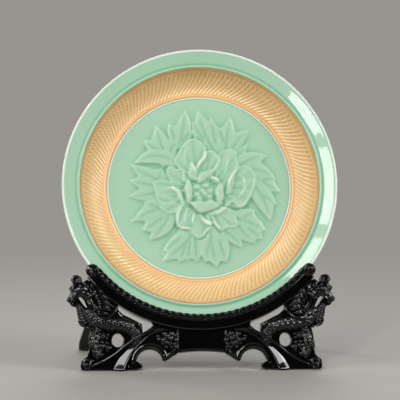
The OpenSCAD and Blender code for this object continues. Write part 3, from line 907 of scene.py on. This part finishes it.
def draped(radii, columns, height, base_n):
    """A closed disc: a polar grid carries the height on top, and its underside lies flat at base_n."""
    angle = np.linspace(0, 2 * math.pi, columns, endpoint=False)
    x, w = radii[:, None] * np.cos(angle), radii[:, None] * np.sin(angle)
    drawn_w = w + SAG * bump(w, -45, 75)
    n = WELL_N + sample(height, x, drawn_w)
    top = on_lean(x, w, n)
    under = np.stack([on_lean(x[i], w[i], base_n + 0 * x[i]) for i in (-1, len(radii) // 2, 1)])
    # The painted depth carries the drawing's painted shade and painted highlights onto the carving.
    depth = sample(glaze, x, drawn_w)
    return shell(np.concatenate([top, under]), depth=np.concatenate([depth, 0.5 + 0 * under[..., 0]]))


# Under the flower the leaves' sheet sinks out of sight, and round it the flower's sheet does.
sunk = ease((inside_flower - 1.5) / 1.5)
leaf_height = whole * (1 - sunk) - 0.2 * sunk
flower_height = np.where(inside_flower > -0.6, whole, 0) - 1.4 * ease((-0.1 - inside_flower) / 1.0)
flower_height = np.minimum(flower_height, np.where(inside_flower > -1.1, 99, -1.2))
# The leaves' rows lie close together only where there is carving.
leaf_radii = np.concatenate([np.linspace(0.4, 34, 6), np.linspace(36, 106, 128), np.linspace(107, 115.7, 8)])
leaf_disc = draped(leaf_radii, 640, leaf_height, WELL_N - 1.0)
flower_disc = draped(np.linspace(0.3, 77.5, 160), 560, flower_height, WELL_N - 1.6)
piece("leaf_relief", [leaf_disc], WELL_GLAZE, "plate", "celadon_glaze", "leaf_sprigs")
piece("flower_relief", [flower_disc], WELL_GLAZE, "plate", "celadon_glaze", "petal_sprigs", "flower_heart")

# %% [markdown]
# ## Black lacquer, felt, brass and bare wood
# The stand is carved hardwood under black lacquer. Black gloss has no colour of its own to model with, so
# a clear coat carries the reflections and the ground under it stays a little rough. The small fittings keep
# their CAD shape, which is already right, and only take a finish.

# %% Stand finishes


def lacquer():
    """A black ground with no shine of its own under a hard clear coat."""
    f = Finish("black_lacquer", Coat_Weight=1.0, Coat_Roughness=0.05, Coat_IOR=1.55, IOR=1.5,
               Specular_IOR_Level=0.0)
    smudge = f.smudge(22.0, 500.0)
    f.colour(f.mix(smudge.outputs["Mask"], linear(2, 2, 2), linear(5, 5, 4)))
    f.rough(f.spread(smudge.outputs["Mask"], 0.24, 0.4))
    f.bumps(smudge.outputs["Height"], 0.0001, 0.15)
    return f.material


def plain(name, dark, light, rough, scale, fine, depth, **more):
    """A finish whose colour and roughness drift between two values."""
    f = Finish(name, **more)
    smudge = f.smudge(scale, fine)
    f.colour(f.mix(smudge.outputs["Mask"], linear(*dark), linear(*light)))
    f.rough(f.spread(smudge.outputs["Mask"], *rough))
    f.bumps(smudge.outputs["Height"], depth, 0.6)
    return f.material


LACQUER = lacquer()
FELT = plain("black_felt", (38, 38, 40), (58, 57, 58), (0.9, 1.0), 60, 1800, 0.0006, Sheen_Weight=0.6)
BRASS = plain("brass", (168, 128, 62), (206, 168, 92), (0.25, 0.42), 150, 1500, 0.0001, Metallic=1.0)
WOOD = plain("bare_wood", (128, 88, 54), (166, 124, 82), (0.6, 0.75), 120, 900, 0.0003)
print("finishes:", [made.name for made in (LACQUER, FELT, BRASS, WOOD)])

# %% CAD nodes that stay in view


def finish_node(node, material):
    """Gives a CAD node that stays in view a finish of its own."""
    for part in frame["nodes"][node].material_slots:
        part.link = "OBJECT"
        part.material = material


for node in ("cradle_felts", "post_felts", "front_feet", "rear_feet"):
    finish_node(node, FELT)
for node in ("post_screws", "leaf_screws", "pivot_pins", "stop_pegs"):
    finish_node(node, BRASS)
finish_node("board_dowels", WOOD)
print("felt, brass and bare wood given to their nodes")

# %% Posts, legs and rails with eased edges


def cleaned(mesh, gap, flat_angle=None):
    """Merges a mesh's doubles, joins faces that lie flat together if asked, and turns its faces outwards."""
    bm = bmesh.new()
    bm.from_mesh(mesh)
    bmesh.ops.remove_doubles(bm, verts=bm.verts, dist=gap)
    if flat_angle is not None:
        bmesh.ops.dissolve_limit(bm, angle_limit=flat_angle, verts=bm.verts, edges=bm.edges)
    bmesh.ops.recalc_face_normals(bm, faces=bm.faces)
    bm.to_mesh(mesh)
    bm.free()


def eased_copy(name, node, width, body):
    """A copy of a CAD node with its doubles merged and its edges eased, as sandpaper leaves them."""
    mesh = frame["nodes"][node].data.copy()
    cleaned(mesh, 1e-6, math.radians(1))
    mesh.name = name
    mesh.materials.clear()
    mesh.materials.append(LACQUER)
    mesh.shade_smooth()
    obj = placed(name, mesh)
    ease_edges = obj.modifiers.new("eased edges", "BEVEL")
    ease_edges.width = width * MM
    ease_edges.segments = 3
    ease_edges.limit_method = "ANGLE"
    ease_edges.angle_limit = math.radians(28)
    ease_edges.harden_normals = True
    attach(obj, body)
    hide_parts(node)
    print(f"{name}: edges eased by {width} mm")


for node in ("left_post", "right_post", "post_rail"):
    eased_copy(node + "_eased", node, 1.2, "front_leaf")
for node in ("left_rear_leg", "right_rear_leg", "rear_top_rail", "rear_stretcher"):
    eased_copy(node + "_eased", node, 1.5, "rear_leaf")

# %% [markdown]
# ## The cradle
# The plate sits in an arc cut to its rim. The band is one section swept round the plate's axis, and the
# beads in front of the rim are the same sweep with a section that swells and shrinks once for each bead,
# which leaves the narrow gleaming necks between them.

# %% Cradle
CRADLE_HALF = 50.0                 # degrees to each side of straight down


def swept(r, n, angles):
    """A closed bar round the plate's axis, with its section's radii and depths at angles from straight down.

    The section may change along the bar: then r and n have a row for each angle.
    """
    a = np.radians(angles)[:, None]
    return shell(on_lean(r * np.sin(a), -r * np.cos(a), n + 0 * a))


band = rounded([
    (173, 1), (173, 4.4), (173.6, 5), (178, 5), (185.5, 5), (186, 4.5), (186, 2.4), (186, -10), (186, -24),
    (185, -26), (181, -26), (177, -26), (177, -10), (177, 0.3), (174, 0.3), (173, 1)
], 1)[:-1]
cradle = swept(band[:, 0], band[:, 1], np.linspace(-CRADLE_HALF, CRADLE_HALF, 220))
piece("cradle_arc_band", [cradle], LACQUER, "front_leaf", "black_lacquer", "cradle_arc")

# %% Beads
# The bar is full over each bead and drops to a narrow neck between two. A neck's front is a flat facet that
# tips a little to one side, so that it takes the light as one thin gleam.
BEADS = 33
BEAD_R, BEAD_N = 169.5, 3.2
FACET_SLOPE = math.tan(math.radians(12))

station = np.linspace(-CRADLE_HALF, CRADLE_HALF, BEADS * 24 + 1)
bead_phase = (station + CRADLE_HALF) / (2 * CRADLE_HALF) * BEADS
off = (bead_phase - np.round(bead_phase))[:, None]
swelling = ease((abs(off) - 0.09) / 0.13)
turn = np.linspace(0, 2 * math.pi, 24, endpoint=False)
oval = np.sign(np.sin(turn)) * abs(np.sin(turn)) ** 0.5
facet = FACET_SLOPE * off * math.radians(2 * CRADLE_HALF / BEADS) * BEAD_R * (1 - swelling)
bead_r = BEAD_R + (3.0 + 0.7 * swelling) * np.cos(turn)
bead_n = BEAD_N + (1.7 + 1.7 * swelling) * oval + np.where(oval > 0, facet, 0)
bead_bar = swept(bead_r, bead_n, station)
piece("beaded_lip_beads", [bead_bar], LACQUER, "front_leaf", "black_lacquer", "beaded_lip")

# %% Scrolls at the cradle's ends


def scroll_knob(x, w, n, r, rise, turns=1.6, hand=1, rows=34, columns=44):
    """A flattened ball with a spiral groove on its face: the groove's angle grows with its radius."""
    lat = np.linspace(0.03, math.pi - 0.03, rows)[:, None]
    lon = np.linspace(0, 2 * math.pi, columns, endpoint=False)
    spiral = np.cos(lon * hand - 2 * math.pi * turns * np.sin(lat))
    groove = np.where(lat < 1.6, ease((spiral - 0.45) / 0.4) * ease(3 - 2.2 * lat) * ease(lat * 3), 0)
    size = r * (1 - 0.16 * groove)
    return shell(on_lean(x + size * np.sin(lat) * np.cos(lon), w + size * np.sin(lat) * np.sin(lon),
                         n + rise * (1 - 0.2 * groove) * np.cos(lat) + 0 * lon))


for side, word in ((-1, "left"), (1, "right")):
    knob = scroll_knob(side * 135.9, -110.8, 5.15, 8.4, 4.8, 1.7, side)
    piece(word + "_scroll_knob", [knob], LACQUER, "front_leaf", "black_lacquer", word + "_scroll_end")

# %% [markdown]
# ## Carving tools
# The dragons are openwork boards with rounded bodies carved out of them. A board is a filled outline with
# thickness and an eased edge. Everything round on it is a tube: a section carried along a path, whose
# radius changes on the way, and whose surface is pushed in and out by a pattern that follows the path, so
# that scales run along a back and grooves along a lock of mane.

# %% Boards and tubes
FELT_TOP = 1.8 * MM                # the carving stops on the felt pads under the feet


def on_felt(points):
    """Slides every point that lies below the felt's top up the lean until it rests there."""
    short = np.maximum(FELT_TOP - points[..., 2:], 0)
    return points + short * UP / UP[2]


def board(name, outline, holes, front, back, edge, body, node):
    """A board in the plate's plane: a filled curve, extruded and bevelled inwards, then made a mesh."""
    curve = bpy.data.curves.new(name, "CURVE")
    curve.dimensions = "2D"
    curve.fill_mode = "BOTH"
    curve.extrude = MM * ((front - back) / 2 - edge)
    curve.bevel_depth = MM * edge
    curve.bevel_resolution = 3
    curve.offset = -MM * edge
    for loop in [outline] + holes:
        spline = curve.splines.new("POLY")
        spline.points.add(len(loop) - 1)
        flat = np.concatenate([np.asarray(loop) * MM, np.zeros((len(loop), 1)), np.ones((len(loop), 1))], 1)
        spline.points.foreach_set("co", flat.reshape(-1))
        spline.use_cyclic_u = True
    maker = placed(name, curve)
    mesh = bpy.data.meshes.new_from_object(maker.evaluated_get(bpy.context.evaluated_depsgraph_get()))
    bpy.data.objects.remove(maker)
    bpy.data.curves.remove(curve)
    cleaned(mesh, 2e-6)
    co = np.empty(len(mesh.vertices) * 3)
    mesh.vertices.foreach_get("co", co)
    x, w, n = co.reshape(-1, 3).T / MM
    mesh.vertices.foreach_set("co", on_felt(on_lean(x, w, n + (front + back) / 2)).reshape(-1))
    mesh.name = name
    mesh.shade_smooth()
    normals = np.empty(len(mesh.polygons) * 3)
    mesh.polygons.foreach_get("normal", normals)
    mesh.polygons.foreach_set("use_smooth", abs(normals.reshape(-1, 3) @ OUT) < 0.999)
    mesh.materials.clear()
    mesh.materials.append(LACQUER)
    obj = placed(name, mesh)
    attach(obj, body)
    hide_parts(node)
    print(name, "board:", len(mesh.polygons), "faces")


# %% Patterns that run along a bar
# Each gives a height in millimetres from the distance along the bar, the angle round it and its radius.


def scales(s, turn, r):
    """Overlapping scales: each row's height grows along the scale and across it as a half circle."""
    u = s / 3.6
    v = turn * 10 / (2 * math.pi) + 0.5 * (np.floor(u) % 2)
    across = 2 * (v % 1) - 1
    return 1.3 * ((u % 1) ** 0.8) * np.sqrt(np.clip(1 - across ** 2, 0, 1)) - 0.6


def rings(s, turn, r):
    """Plates across a belly or beard: round hoops with narrow valleys between them."""
    return 1.3 * abs(np.sin(math.pi * s / 3.6)) ** 0.6 - 0.8 + 0 * turn


def strands(s, turn, r):
    """Grooves along a lock of hair, which wind slowly round it."""
    return 0.14 * r * np.cos(6 * turn + 0.12 * s) + 0 * s


def smooth(s, turn, r):
    """No pattern."""
    return 0 * s * turn


# %% Bars and spirals
SHORT_ROWS = 24                    # a bar of fewer rows has them closer together at its ends
CAP, CAP_ROWS = 1.5, 4             # extra rows where an end is rounded off


def tube(path, pattern=smooth, columns=20, step=0.9, flat=1.0, section=None):
    """A closed round bar along a path of (x, w, n, radius) points, with its ends rounded off.

    The path is a Catmull-Rom curve, walked in even steps, or on a short bar in steps that close up towards
    its ends. Each section is a circle of the path's radius plus the pattern, squeezed by flat in n, or it is
    the given section of (across, out) points. Within a radius of each end it shrinks as a ball does.
    """
    curve = smooth_line(path, steps=12)
    walked = np.concatenate([[0], np.cumsum(np.linalg.norm(np.diff(curve[:, :3], axis=0), axis=1))])
    rows = max(int(walked[-1] / step), 6)
    if rows < SHORT_ROWS:
        s = walked[-1] * (0.5 - 0.5 * np.cos(math.pi * np.linspace(0, 1, rows)))
    else:
        s = np.linspace(0, walked[-1], rows)
    cap = np.linspace(0, min(CAP, s[-1] / 4), CAP_ROWS)
    s = np.unique(np.concatenate([cap, s, s[-1] - cap]))
    x, w, n, r = (np.interp(s, walked, curve[:, i]) for i in range(4))
    ahead = np.stack([np.gradient(v, s) for v in (x, w)], -1)
    ahead /= np.maximum(np.linalg.norm(ahead, axis=1, keepdims=True), 1e-9)
    for end, edge_r in ((s, max(r[0], 0.3)), (s[-1] - s, max(r[-1], 0.3))):
        r = r * np.sqrt(np.clip(1 - (1 - np.clip(end / edge_r, 0.02, 1)) ** 2, 0, 1))
    if section is None:
        turn = np.linspace(0, 2 * math.pi, columns, endpoint=False)
        relief = pattern(s[:, None], turn, r[:, None]) * np.clip(r[:, None] / 3, 0, 1)
        swell = np.clip(r[:, None] + relief, 0.05, None)
        side, out = swell * np.cos(turn), swell * np.sin(turn) * flat
    else:
        side, out = r[:, None] * section[:, 0], r[:, None] * section[:, 1]
    points = on_lean(x[:, None] - side * ahead[:, 1:], w[:, None] + side * ahead[:, :1], n[:, None] + out)
    return shell(on_felt(points))


def spiral(x, w, n, start, turns, wide, tight, thick, thin):
    """A path that winds inwards: its radius and thickness shrink evenly with the angle turned."""
    t = np.linspace(0, 1, max(int(abs(turns) * 14), 6))
    a = math.radians(start) + 2 * math.pi * turns * t
    reach = wide + (tight - wide) * t
    width = thick + (thin - thick) * t
    return np.stack([x + reach * np.cos(a), w + reach * np.sin(a), n + 1.2 * t, width], 1)


def mirrored(shells):
    """The same shells on the other side of the middle, still looking outwards."""
    flip = np.array([-1.0, 1.0, 1.0])
    return [outward({**s, "co": s["co"] * flip}) for s in shells]


# %% [markdown]
# ## The dragons
# Each dragon climbs from the foot to the rim's side: a haunch and a scaled back that arches over a round
# hole, a ringed throat, and a head that looks outwards with an open mouth and a curled crest. Clouds fill the
# corner above its foot. The board's outline gives the openings, and the tubes give the round forms. The right
# dragon is carved, and the left one is its mirror image.

# %% Dragon board
ARCH_X, ARCH_W, ARCH_R = 65.0, -226.0, 16.4
BELLY_X, BELLY_W, BELLY_R = 104.8, -198.0, 7.2
BELLY_TALL = 1.2                   # the belly hole's height over its width
CRADLE_R = 186.0
BOARD_FRONT, BOARD_BACK, BOARD_EDGE = 1.0, -13.0, 1.0


def arc(x, w, r, start, stop, count):
    """Points on a circle from one angle to another, in degrees."""
    a = np.radians(np.linspace(start, stop, count))
    return list(zip(x + r * np.cos(a), w + r * np.sin(a)))


FOOT_W = -235.6                    # the board's lower edge
DRAGON_OUTLINE = (
    arc(0, 0, CRADLE_R, -80.7, -70.4, 9)
    + [(61.4, -180), (66.5, -184), (67.8, -191), (71.3, -193.5), (73.3, -188.7), (74, -178), (83.7, -173.3),
       (93, -168.5), (100, -165), (104, -159)]
    + arc(0, 0, CRADLE_R, -55.8, -42.4, 12)
    + [(143.5, -121.5), (148, -125.5), (150.5, -125), (153, -119), (157.6, -115.2), (162.5, -119),
       (160.5, -127), (165.8, -132.5), (163, -138), (168, -146), (162.3, -155), (154.5, -156.5),
       (153.5, -171), (147, -180), (139, -182), (137, -190), (139, -204), (143, -217), (150, -223),
       (151, -231), (150, FOOT_W), (84, FOOT_W), (75.5, -234), (73.7, -230), (77.5, -226.5)]
    + arc(ARCH_X, ARCH_W, ARCH_R, 8, 172, 20)
    + [(46, -224.5), (42, -222.5), (36.5, -218.5), (30, -215)]
)
BELLY_RING = arc(BELLY_X, BELLY_W, BELLY_R, 0, 345, 16)
BELLY_HOLE = [(x, BELLY_W + (w - BELLY_W) * BELLY_TALL) for x, w in BELLY_RING]
MOUTH = [(154, -144), (151, -143), (141, -153), (137, -159), (140, -160.5), (147, -154)]

for side, word in ((-1, "left"), (1, "right")):
    loops = [[(side * x, w) for x, w in loop] for loop in (DRAGON_OUTLINE, BELLY_HOLE, MOUTH)]
    board(word + "_dragon_board", loops[0], loops[1:], BOARD_FRONT, BOARD_BACK, BOARD_EDGE, "front_leaf",
          word + "_dragon")

# %% Dragon head
# In order: skull, cheek and neck, throat, nose, lip, ear, eye, brow, horn, curled crest and its two stems.
HEAD = [
    tube([(136, -143, -1, 7), (144, -137.5, 0, 7), (152, -136.5, 0, 6), (157.5, -141, 0, 5),
          (161.5, -147, 0, 5.2), (161, -152, 0, 4)], strands, 34),
    tube([(145, -141.5, 0, 4), (139.5, -148, 0, 6), (133, -157, -1, 7.5), (127, -164, -2, 8)], strands, 34),
    tube([(156, -153, 0, 2.4), (151.5, -158, 0, 4.8), (149, -165, 0, 6), (147, -172, -1, 5.6),
          (143, -179, -2, 3)], rings, 30, 0.5),
    tube([(163, -144.5, 2, 3), (165.3, -147.2, 2.5, 3.2), (164.5, -150, 2, 2.4)]),
    tube([(159.5, -151.5, 3, 2.6), (161.5, -152.8, 3, 2.8)]),
    tube([(131, -137.5, 3, 1), (136, -141, 7, 2.6), (141, -145.5, 6.6, 2.2), (144, -149, 4, 1)]),
    tube([(147, -139.5, 6.2, 2.6), (149, -139.8, 6.4, 2.6)]),
    tube([(143, -136, 5, 1), (147.5, -134.6, 7, 1.8), (153, -135.5, 6, 1.8), (157, -139, 5, 1)]),
    tube([(153, -139, 2, 2), (158, -136, 2, 1.6), (162.5, -133.5, 1, 1.1), (165, -132.6, 0, 0.5)]),
    tube(spiral(157, -122.5, 0, -130, -1.35, 6.2, 1.6, 2.3, 1.4), columns=14, step=0.8),
    tube([(148, -135, 0, 3.4), (151, -130, 0, 3), (153, -127.5, 0, 2.4)]),
    tube([(160, -138, 0, 2.6), (160.5, -132, 0, 2.4), (158.5, -127.5, 0, 2)]),
]
print("head:", len(HEAD), "bars")

# %% Dragon mane and body
# The mane is seven locks. The body is a scaled back, a scaled foreleg, the beard's tip, a long whisker over
# the back and a lock that runs down beside the cradle.
MANE = [
    tube([(140, -138, 0, 4), (136, -132, 0, 3.4), (138, -127, 0, 2.2), (143.3, -122, 0, 0.6)], strands),
    tube([(145, -135, 1, 3.6), (143, -130, 1, 3), (146.5, -126, 0, 1.8), (150, -125.8, 0, 0.5)], strands),
    tube([(136, -141, 2, 4.4), (129, -137, 2, 4), (123, -139, 1, 2.6), (119, -143, 0, 0.7)], strands),
    tube([(134, -147, 3, 4.6), (126, -143, 3, 4.4), (118, -146, 1.5, 3), (112, -150.5, 0, 0.8)], strands),
    tube([(131, -153, 3, 4.8), (123, -150, 3, 4.4), (115, -153, 1.5, 3.2), (108, -158, 0, 0.8)], strands),
    tube([(130, -159, 3, 4.8), (122, -157, 3, 4.2), (115, -160, 1.5, 3), (110, -165, 0, 0.8)], strands),
    tube([(131, -165, 3, 4.2), (124, -164, 2.5, 3.8), (118, -166, 1.5, 2.6), (114, -170, 0, 0.8)], strands),
]
BODY = [
    tube([(88, -207, -4, 4.5), (82.5, -199, -3, 7), (83, -190, -3, 8.2), (91, -182.5, -3, 9.2),
          (103, -178.5, -3, 9.8), (116, -177, -3, 10.2), (130, -174, -3, 10), (139, -166, -3, 9.4),
          (141, -156, -3, 8)], scales, 60, 0.5),
    tube([(127, -181, -2, 8), (132, -191, -2, 8), (133.5, -202, -2, 7), (130, -212, -2, 6),
          (133, -221, -2, 5)], scales, 48, 0.5),
    tube([(150.5, -171, 1, 3), (151, -175, 1, 2.6), (148, -179.5, 0, 2), (143, -181, 0, 1)], strands),
    tube([(105, -155, 1, 1.4), (108, -163, 4, 1.7), (116, -170, 6.6, 1.8), (127, -174, 7, 1.8),
          (137, -178, 5, 1.6), (141, -184, 2, 1.2)], smooth, 14),
    tube([(104.5, -162, 0, 2), (99, -168.2, 0, 2.6), (88.5, -173.8, 0, 2.8), (79, -178.6, 0, 2.4),
          (76, -186, 0, 1.4)], strands),
]
print("mane and body:", len(MANE) + len(BODY), "bars")

# %% Dragon foot
# A ribbon runs from the apron down to the floor with a thin bead beside it. One bar arches over the round
# opening, and another lies along the floor, from a claw at the toe to a scroll at the heel.
RIBBON = rounded([(-0.6, -1.2), (-1.0, -0.6), (-1.0, 0.3), (-0.92, 0.5), (-0.75, 0.5), (0, 0.2), (0.8, -0.2),
                  (1, -0.4), (1, -0.8), (0.6, -1.2), (-0.6, -1.2)])[:-1]
FOOT = [
    tube([(42, -184, 1, 2.6), (53, -185, 1.4, 3), (65, -189.5, 1.8, 3.4), (77, -198, 2.2, 4),
          (88, -209, 2.4, 5), (97, -221, 2.4, 6.6), (103, -233, 2.4, 8), (109, -247, 2.4, 9)],
         section=RIBBON),
    tube([(44, -222, -1, 2.8)] + [(ARCH_X + 21 * math.cos(a), ARCH_W + 21 * math.sin(a), -1.5, 4.6)
                                  for a in np.radians([165, 140, 110, 80, 50, 20])] + [(86, -229, -1, 3.4)],
         smooth, 30, 1.0, 0.8),
    tube([(58.9, -182.5, 4, 0.9), (74.8, -191.5, 5, 1.5), (93.5, -203.5, 4.4, 1.7), (107.6, -215, 3.4, 1.7),
          (122, -223.5, 2.4, 1.6), (133, -228.5, 2, 1.3), (138, -231.5, 0, 0.8)], smooth, 14),
    tube([(100, -231, -3, 3.2), (118, -231.4, -2.6, 3.4), (136, -231.4, -2.6, 3.4), (147, -231, -3, 3.2)]),
    tube(spiral(141.5, -226.4, 0, -120, 1.4, 6.4, 1.4, 2.6, 1.6), columns=16, step=0.8),
    tube([(145, -229, 0, 4.4), (147.5, -227.5, 0, 4)]),
    tube([(94, -231, -2, 3.4), (85, -231, -2, 3), (78.5, -229.8, -2, 2.2), (74.6, -227.2, -2, 0.7)],
         smooth, 16),
    tube([(34, -211.5, -1, 3), (41, -216.5, -1, 3.4), (47, -219.6, -1, 2.6), (49.4, -214.5, -1, 0.7)],
         smooth, 16),
]
print("foot:", len(FOOT), "bars")

# %% Clouds
seeded = np.random.default_rng(7)


def cloud(x0, x1, w0, w1, pitch, keep):
    """A bank of cloud: small spiral knobs on a jittered grid, wherever keep says that the board goes on."""
    knobs = []
    for w in np.arange(w0, w1, pitch):
        for x in np.arange(x0, x1, pitch):
            jitter = seeded.uniform(-2, 2, 2)
            r = seeded.uniform(1.9, 4.3)
            if keep(x + jitter[0], w + jitter[1], r):
                hand = seeded.choice([-1, 1])
                knobs.append(scroll_knob(x + jitter[0], w + jitter[1], 1.0, r, r * 0.95, 1.0, hand, 10, 16))
    return knobs


def over_foot(x, w, r):
    """Whether a knob lies between the throat and the ribbon, clear of the belly hole."""
    ribbon = -203.5 - (x - 93.5) * 0.82 + 6
    throat = 139 + 0.05 * (-185 - w)
    clear_of_hole = math.hypot(x - BELLY_X, (w - BELLY_W) / BELLY_TALL) > 8.5 + r
    return w > ribbon + r and clear_of_hole and x + r < throat


def by_apron(x, w, r):
    """Whether a knob lies between the apron and the ribbon that runs down to the foot."""
    ribbon = -186 - 0.55 * max(x - 45, 0)
    clear_of_arch = math.hypot(x - ARCH_X, w - ARCH_W) > 25 + r
    return w < ribbon - r and clear_of_arch and w > -213 + r


CLOUDS = cloud(97, 142, -222, -184, 5.4, over_foot) + cloud(33, 60, -212, -186, 5.0, by_apron)
print("clouds:", len(CLOUDS), "knobs")

# %% Both dragons' carving
carving = HEAD + MANE + BODY + FOOT + CLOUDS
piece("right_dragon_carving", carving, LACQUER, "front_leaf", "black_lacquer", "right_dragon")
piece("left_dragon_carving", mirrored(carving), LACQUER, "front_leaf", "black_lacquer", "left_dragon")

# %% [markdown]
# ## The apron
# The board under the cradle's middle joins the two dragons. Its lower edge is a shallow arch, and it is
# plain but for a bead along that edge.

# %% Apron
APRON_HALF = 30.2
APRON_W = -214.0                   # its lower corners
BEAD_W = -211.6                    # the bead's line there


def arched(x):
    """How far the apron's lower edge lies above its corners at x: a shallow cosine arch."""
    return 2.2 * math.cos(math.pi * x / 60)


apron_outline = (
    arc(0, 0, CRADLE_R, -99.3, -80.7, 13)
    + [(APRON_HALF, APRON_W)]
    + [(x, APRON_W + arched(x)) for x in range(24, -25, -8)]
    + [(-APRON_HALF, APRON_W)]
)
board("apron_panel", apron_outline, [], BOARD_FRONT, BOARD_BACK, BOARD_EDGE, "front_leaf", "apron_board")
line = [(x, BEAD_W + arched(x), 1.0, 1.1) for x in range(-28, 29, 7)]
piece("apron_carving", [tube(line, columns=14)], LACQUER, "front_leaf", "black_lacquer", "apron_board")

# %% [markdown]
# ## The floor
# A pale plain floor catches the shadow and lends the lacquer something to reflect. It fades out with
# distance, so that it has no edge and hides nothing from behind or below.

# %% Floor
FLOOR_R = 1.6                      # metres
FLOOR_SIDES = 96
FLOOR_DROP = 0.0002                # keeps the floor's face off the felts' undersides


def floor():
    """A matt grey that turns clear with its distance from the object."""
    f = Finish("floor", Roughness=0.6)
    f.shader.inputs["Base Color"].default_value = (*linear(168, 164, 158), 1)
    place = f.node("TexCoord")
    away = f.node("VectorMath", operation="LENGTH")
    f.link(place.outputs["Object"], away.inputs[0])
    fade = f.node("MapRange")
    for key, value in (("From Min", 0.35), ("From Max", FLOOR_R * 0.95), ("To Min", 1.0), ("To Max", 0.0)):
        fade.inputs[key].default_value = value
    f.link(away.outputs["Value"], fade.inputs["Value"])
    f.link(fade.outputs["Result"], f.shader.inputs["Alpha"])
    return f.material


turn = np.linspace(0, 2 * math.pi, FLOOR_SIDES, endpoint=False)
rim = np.stack([FLOOR_R * np.cos(turn), FLOOR_R * np.sin(turn), 0 * turn - FLOOR_DROP], 1)
disc = bpy.data.meshes.new("floor")
disc.from_pydata(rim.tolist(), [], [list(range(FLOOR_SIDES))])
disc.materials.append(floor())
ground = placed("floor", disc)
print("floor:", 2 * FLOOR_R, "m across")
